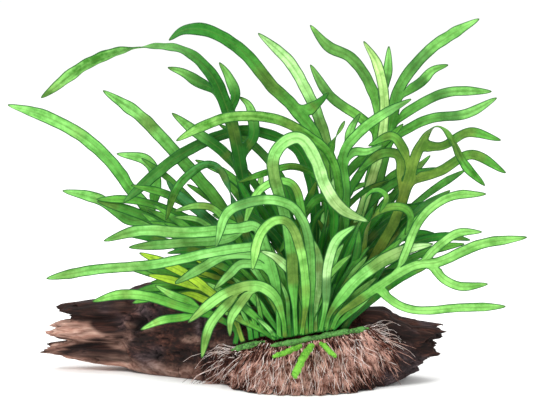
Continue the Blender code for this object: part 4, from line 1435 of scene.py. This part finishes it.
@dataclass
class RootMat:
    """The mat of roots: a dark felt under thousands of fibres. Lengths in millimetres."""

    nodes: dict[str, bpy.types.Object]
    wood: bpy.types.Object
    seed: int = 11
    voxel: float = 1.3
    points: int = 8
    taper: float = 0.4
    rest_height: float = 0.5
    droop: float = 0.3
    side_loss: float = 0.35  # the fibres at the mat's sides are this much shorter
    bundles: int = 17  # the fibres hang in this many tufts
    gather: float = 0.8  # and come this near to their tuft's middle
    ragged: float = 0.7  # how far one tuft is longer or shorter than the next
    from_height: tuple[float, float] = (-7.0, 1.0)  # where on the rhizome they start
    from_depth: tuple[float, float] = (-1.5, 7.0)
    first_depth: float = -46.0
    last_depth: float = -18.0  # no fibre lies further back than this
    anchor_reach: tuple[float, float] = (4.0, 15.0)
    anchor_height: float = 45.0  # where an anchoring root ends if no wood is under it
    weave: tuple[float, float] = (4.0, 9.0)  # how fast a fibre swings from side to side
    hold: float = 0.5  # this share of a fibre's length is held near the rhizome
    front: float = -200.0  # the depth and the height that the mat is looked at from
    above: float = 100.0
    felt_middle: Size = (40.0, -34.0, 0.0)
    felt_share: Size = (0.76, 0.76, 0.86)
    felt_softening: int = 12
    tuft_depth: float = 4.2
    tuft_size: Size = (5.5, 14.0, 22.0)
    hair_depth: float = 0.9
    hair_size: Size = (1.8, 7.0, 9.0)

    CROPS = (
        RootCrop("roots_dark", DARK_ROOTS, 1700, 0.6, -14, 92, (-44, 42), (20, 60), (0.1, 1.6), 1.2),
        RootCrop("roots_pink", PINK_ROOTS, 1200, 0.62, -7, 89, (-42, 40), (22, 62), (0.6, 3.8), 1.8),
        RootCrop("roots_pale", PALE_ROOTS, 260, 0.42, -11, 93, (-56, 58), (18, 58), (1.2, 5.0), 2.8),
        RootCrop("roots_right", PALE_ROOTS, 75, 0.36, 62, 92, (42, 100), (14, 36), (0.4, 2.0), 1.6),
        RootCrop("roots_anchoring", DARK_ROOTS, 2400, 0.6, rows=("middle", "back", "between", "rear")),
        RootCrop("roots_left", PALE_ROOTS, 60, 0.36, -13, 4, (-80, -42), (14, 36), (0.4, 2.0), 1.6),
    )

    def felt(self) -> bpy.types.Object:
        """Makes the dark felt under the fibres: the mat's node, remeshed, shrunk and tufted."""
        bm = in_millimetres([self.nodes["root_mat"].data], NODE_WELD)
        middle = Matrix.Translation(-Vector(self.felt_middle))
        bmesh.ops.scale(bm, vec=self.felt_share, verts=bm.verts, space=middle)
        felt = evened(finished("root_felt", bm, []), self.voxel, self.felt_softening)
        for vert, normal in [(v, v.normal.copy()) for v in felt.data.vertices]:
            place = vert.co / MM
            tuft = self.tuft_depth * noise_at(place, self.tuft_size)
            hair = self.hair_depth * noise_at(place, self.hair_size)
            moved = place + normal * (tuft + hair - 0.8)
            moved.z = max(moved.z, 0.3)
            vert.co = moved * MM
        return dressed(felt, ROOT_FELT.material())

    @staticmethod
    def rhizome_place(x: float) -> Vector:
        """Reads where the front rhizome lies at one place along X."""
        line = [Vector(place) for place in RHIZOME_LINES["left"] + RHIZOME_LINES["front"]]
        for before, after in zip(line, line[1:]):
            if x <= after.x:
                break
        part = (x - before.x) / (after.x - before.x)
        return before.lerp(after, min(max(part, 0.0), 1.0))

    def fibre_line(self, crop: RootCrop, ground: BVHTree, draw: random.Random) -> list[Vector]:
        """Draws one fibre: it leaves the rhizome, weaves outward and lies on what is behind it.

        Args:
            crop: the kind of fibre.
            ground: the felt and the wood, in metres.
            draw: the source of chance.

        Returns:
            The fibre's places, in millimetres.
        """
        share = draw.random()
        x = crop.start + (crop.end - crop.start) * share
        root = self.rhizome_place(x)
        z = root.z + draw.uniform(*self.from_height)
        root.y += draw.uniform(*self.from_depth)
        angle = crop.fan[0] + (crop.fan[1] - crop.fan[0]) * share + draw.gauss(0.0, crop.scatter)
        middling = 1.0 - self.side_loss * (2.0 * share - 1.0) ** 2
        bundle = round(share * self.bundles)
        middling *= 1.0 + self.ragged * noise.noise(Vector((bundle * 3.3, 0.3, 1.7)))
        gather = (bundle / self.bundles - share) * (crop.end - crop.start) * self.gather
        step = draw.uniform(*crop.length) * middling / (self.points - 1)
        lift, phase = draw.uniform(*crop.lift), draw.uniform(0.0, 6.3)
        pitch = draw.uniform(*self.weave)
        depth = self.first_depth
        line: list[Vector] = []
        for i in range(self.points):
            t = i / (self.points - 1)
            way = math.radians(angle * (1.0 - self.droop * t))
            side = crop.curl * math.sin(phase + pitch * t) * min(1.0, 2.0 * t)
            at_x = x + side * math.cos(way) + gather * t * t
            at_z = max(z + side * math.sin(way), self.rest_height)
            hit = ground.ray_cast(Vector((at_x, self.front, at_z)) * MM, Vector((0, 1, 0)))[0]
            if hit is not None:
                depth = min(hit.y / MM, self.last_depth)
            stand = lift * (0.35 + 0.65 * math.sin(math.pi * min(1.0, 0.15 + t)))
            held = (1.0 - smoothstep(0.0, self.hold, t)) ** 0.7
            line.append(Vector((at_x, (depth - stand) * (1.0 - held) + root.y * held, at_z)))
            if at_z <= self.rest_height:
                break
            x += math.sin(way) * step
            z -= math.cos(way) * step
        return line

    def anchor_line(self, row: str, ground: BVHTree, draw: random.Random) -> list[Vector]:
        """Draws one short root that ties a hidden rhizome branch down to the wood.

        Args:
            row: the rhizome branch.
            ground: the felt and the wood, in metres.
            draw: the source of chance.

        Returns:
            The root's places, in millimetres.
        """
        rod = smooth_line([Vector(place) for place in RHIZOME_LINES[row]], COARSE_STEPS)
        start = rod[draw.randrange(COARSE_STEPS)]
        around = draw.uniform(0.0, 2.0 * math.pi)
        out = Vector((math.cos(around), math.sin(around), 0.0)) * draw.uniform(*self.anchor_reach)
        line = []
        for i in range(self.points):
            t = i / (self.points - 1)
            place = start + out * t + Vector((0.8 * math.sin(9.0 * t + around), 0.0, 0.0))
            hit = ground.ray_cast(Vector((place.x, place.y, self.above)) * MM, Vector((0, 0, -1)))[0]
            below = hit.z / MM + 0.2 if hit is not None else self.anchor_height
            place.z = below + (start.z - below) * (1.0 - smoothstep(0.0, 0.7, t))
            line.append(place)
        return line

    def grow(self, crop: RootCrop, lines: list[list[Vector]]) -> bpy.types.Object:
        """Makes one kind of fibre as a bevelled curve, turned to a mesh."""
        curve = round_curve(crop.name, crop.thickness / 2, 0)
        for line in lines:
            last = len(line) - 1
            add_strand(curve, line, [1.0 - (1.0 - self.taper) * i / last for i in range(last + 1)])
        return meshed(crop.name, curve, crop.finish.material())

    def lines_of(self, crop: RootCrop, ground: BVHTree) -> list[list[Vector]]:
        """Draws every fibre of one kind, without those that are too short to see."""
        draw = random.Random(self.seed + crop.count)
        if crop.rows:
            return [self.anchor_line(crop.rows[i % len(crop.rows)], ground, draw)
                    for i in range(crop.count)]
        lines = [self.fibre_line(crop, ground, draw) for _ in range(crop.count)]
        return [line for line in lines if len(line) > 2]

    def build(self) -> list[bpy.types.Object]:
        """Makes the felt and the fibres, which stand together for the root mat."""
        felt = self.felt()
        behind = bmesh.new()
        behind.from_mesh(felt.data)
        behind.from_mesh(self.wood.data)
        ground = BVHTree.FromBMesh(behind)
        behind.free()
        made = [felt] + [self.grow(crop, self.lines_of(crop, ground)) for crop in self.CROPS]
        for piece in made:
            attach(piece, BODY)
            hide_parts("root_mat")
        return made


@dataclass
class Studio:
    """A plain pale floor, soft lights and a long-lensed camera. Lengths in metres."""

    target: Size = (0.01254, 0.0, 0.13623)
    distance: float = 3.3757
    elevation: float = 8.0
    lens: float = 300.0
    floor_size: float = 30.0
    floor_colour: str = "#FBFBFA"
    world_colour: str = "#FFFFFF"
    world_strength: float = 1.0

    # Each light's name, its place, its power in watts and its size.
    LIGHTS = (
        ("key", (-0.9, -1.3, 1.5), 30.0, 0.8),
        ("fill", (1.3, -1.1, 0.9), 5.0, 1.2),
        ("top", (0.1, 0.4, 1.7), 12.0, 1.0),
    )

    def floor(self) -> None:
        """Lays the floor just below the wood."""
        bm = bmesh.new()
        bmesh.ops.create_grid(bm, x_segments=1, y_segments=1, size=self.floor_size / MM / 2)
        bmesh.ops.translate(bm, vec=(0, 0, -0.05), verts=bm.verts)
        material, shader = new_tree("studio paper, matt", 0.95, 1.4)
        shader.inputs["Base Color"].default_value = linear(self.floor_colour)
        shader.inputs["Specular IOR Level"].default_value = 0.1
        finished("studio_floor", bm, [material])

    def light(self, name: str, place: Size, power: float, size: float) -> None:
        """Hangs one square soft light that faces the plant."""
        data = bpy.data.lights.new(name, "AREA")
        data.energy = power
        data.size = size
        lamp = bpy.data.objects.new(name, data)
        lamp.location = place
        lamp.rotation_euler = (Vector(self.target) - Vector(place)).to_track_quat("-Z", "Y").to_euler()
        bpy.context.scene.collection.objects.link(lamp)

    def camera(self) -> None:
        """Sets the camera in front of the plant, looking a little down."""
        data = bpy.data.cameras.new("camera")
        data.lens = self.lens
        data.sensor_width = 36.0
        camera = bpy.data.objects.new("camera", data)
        tilt = math.radians(self.elevation)
        back = Vector((0.0, -math.cos(tilt), math.sin(tilt)))
        camera.location = Vector(self.target) + back * self.distance
        camera.rotation_euler = (-back).to_track_quat("-Z", "Y").to_euler()
        bpy.context.scene.collection.objects.link(camera)
        bpy.context.scene.camera = camera

    def build(self) -> None:
        """Sets up the floor, the lights, the world and the camera."""
        self.floor()
        for name, place, power, size in self.LIGHTS:
            self.light(name, place, power, size)
        world = bpy.data.worlds.new("studio")
        world.use_nodes = True
        sky = world.node_tree.nodes["Background"]
        sky.inputs["Color"].default_value = linear(self.world_colour)
        sky.inputs["Strength"].default_value = self.world_strength
        bpy.context.scene.world = world
        bpy.context.scene.view_settings.view_transform = "Standard"
        self.camera()


def main() -> None:
    """Builds the model around the frame, from the wood to the leaves."""
    logging.basicConfig(level=logging.INFO, format="%(name)s: %(message)s")
    for obj in list(bpy.data.objects):
        bpy.data.objects.remove(obj, do_unlink=True)
    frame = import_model()
    Studio().build()
    nodes = frame["nodes"]
    wood = Driftwood(nodes).build()
    pieces = wood + RootMat(nodes, wood[0]).build() + Rhizome().build()
    pieces += FernFronds().build() + InnerLeaves().build()
    for piece in pieces:
        log.info("%s: %d faces", piece.name, len(piece.data.polygons))


if __name__ == "__main__":
    main()
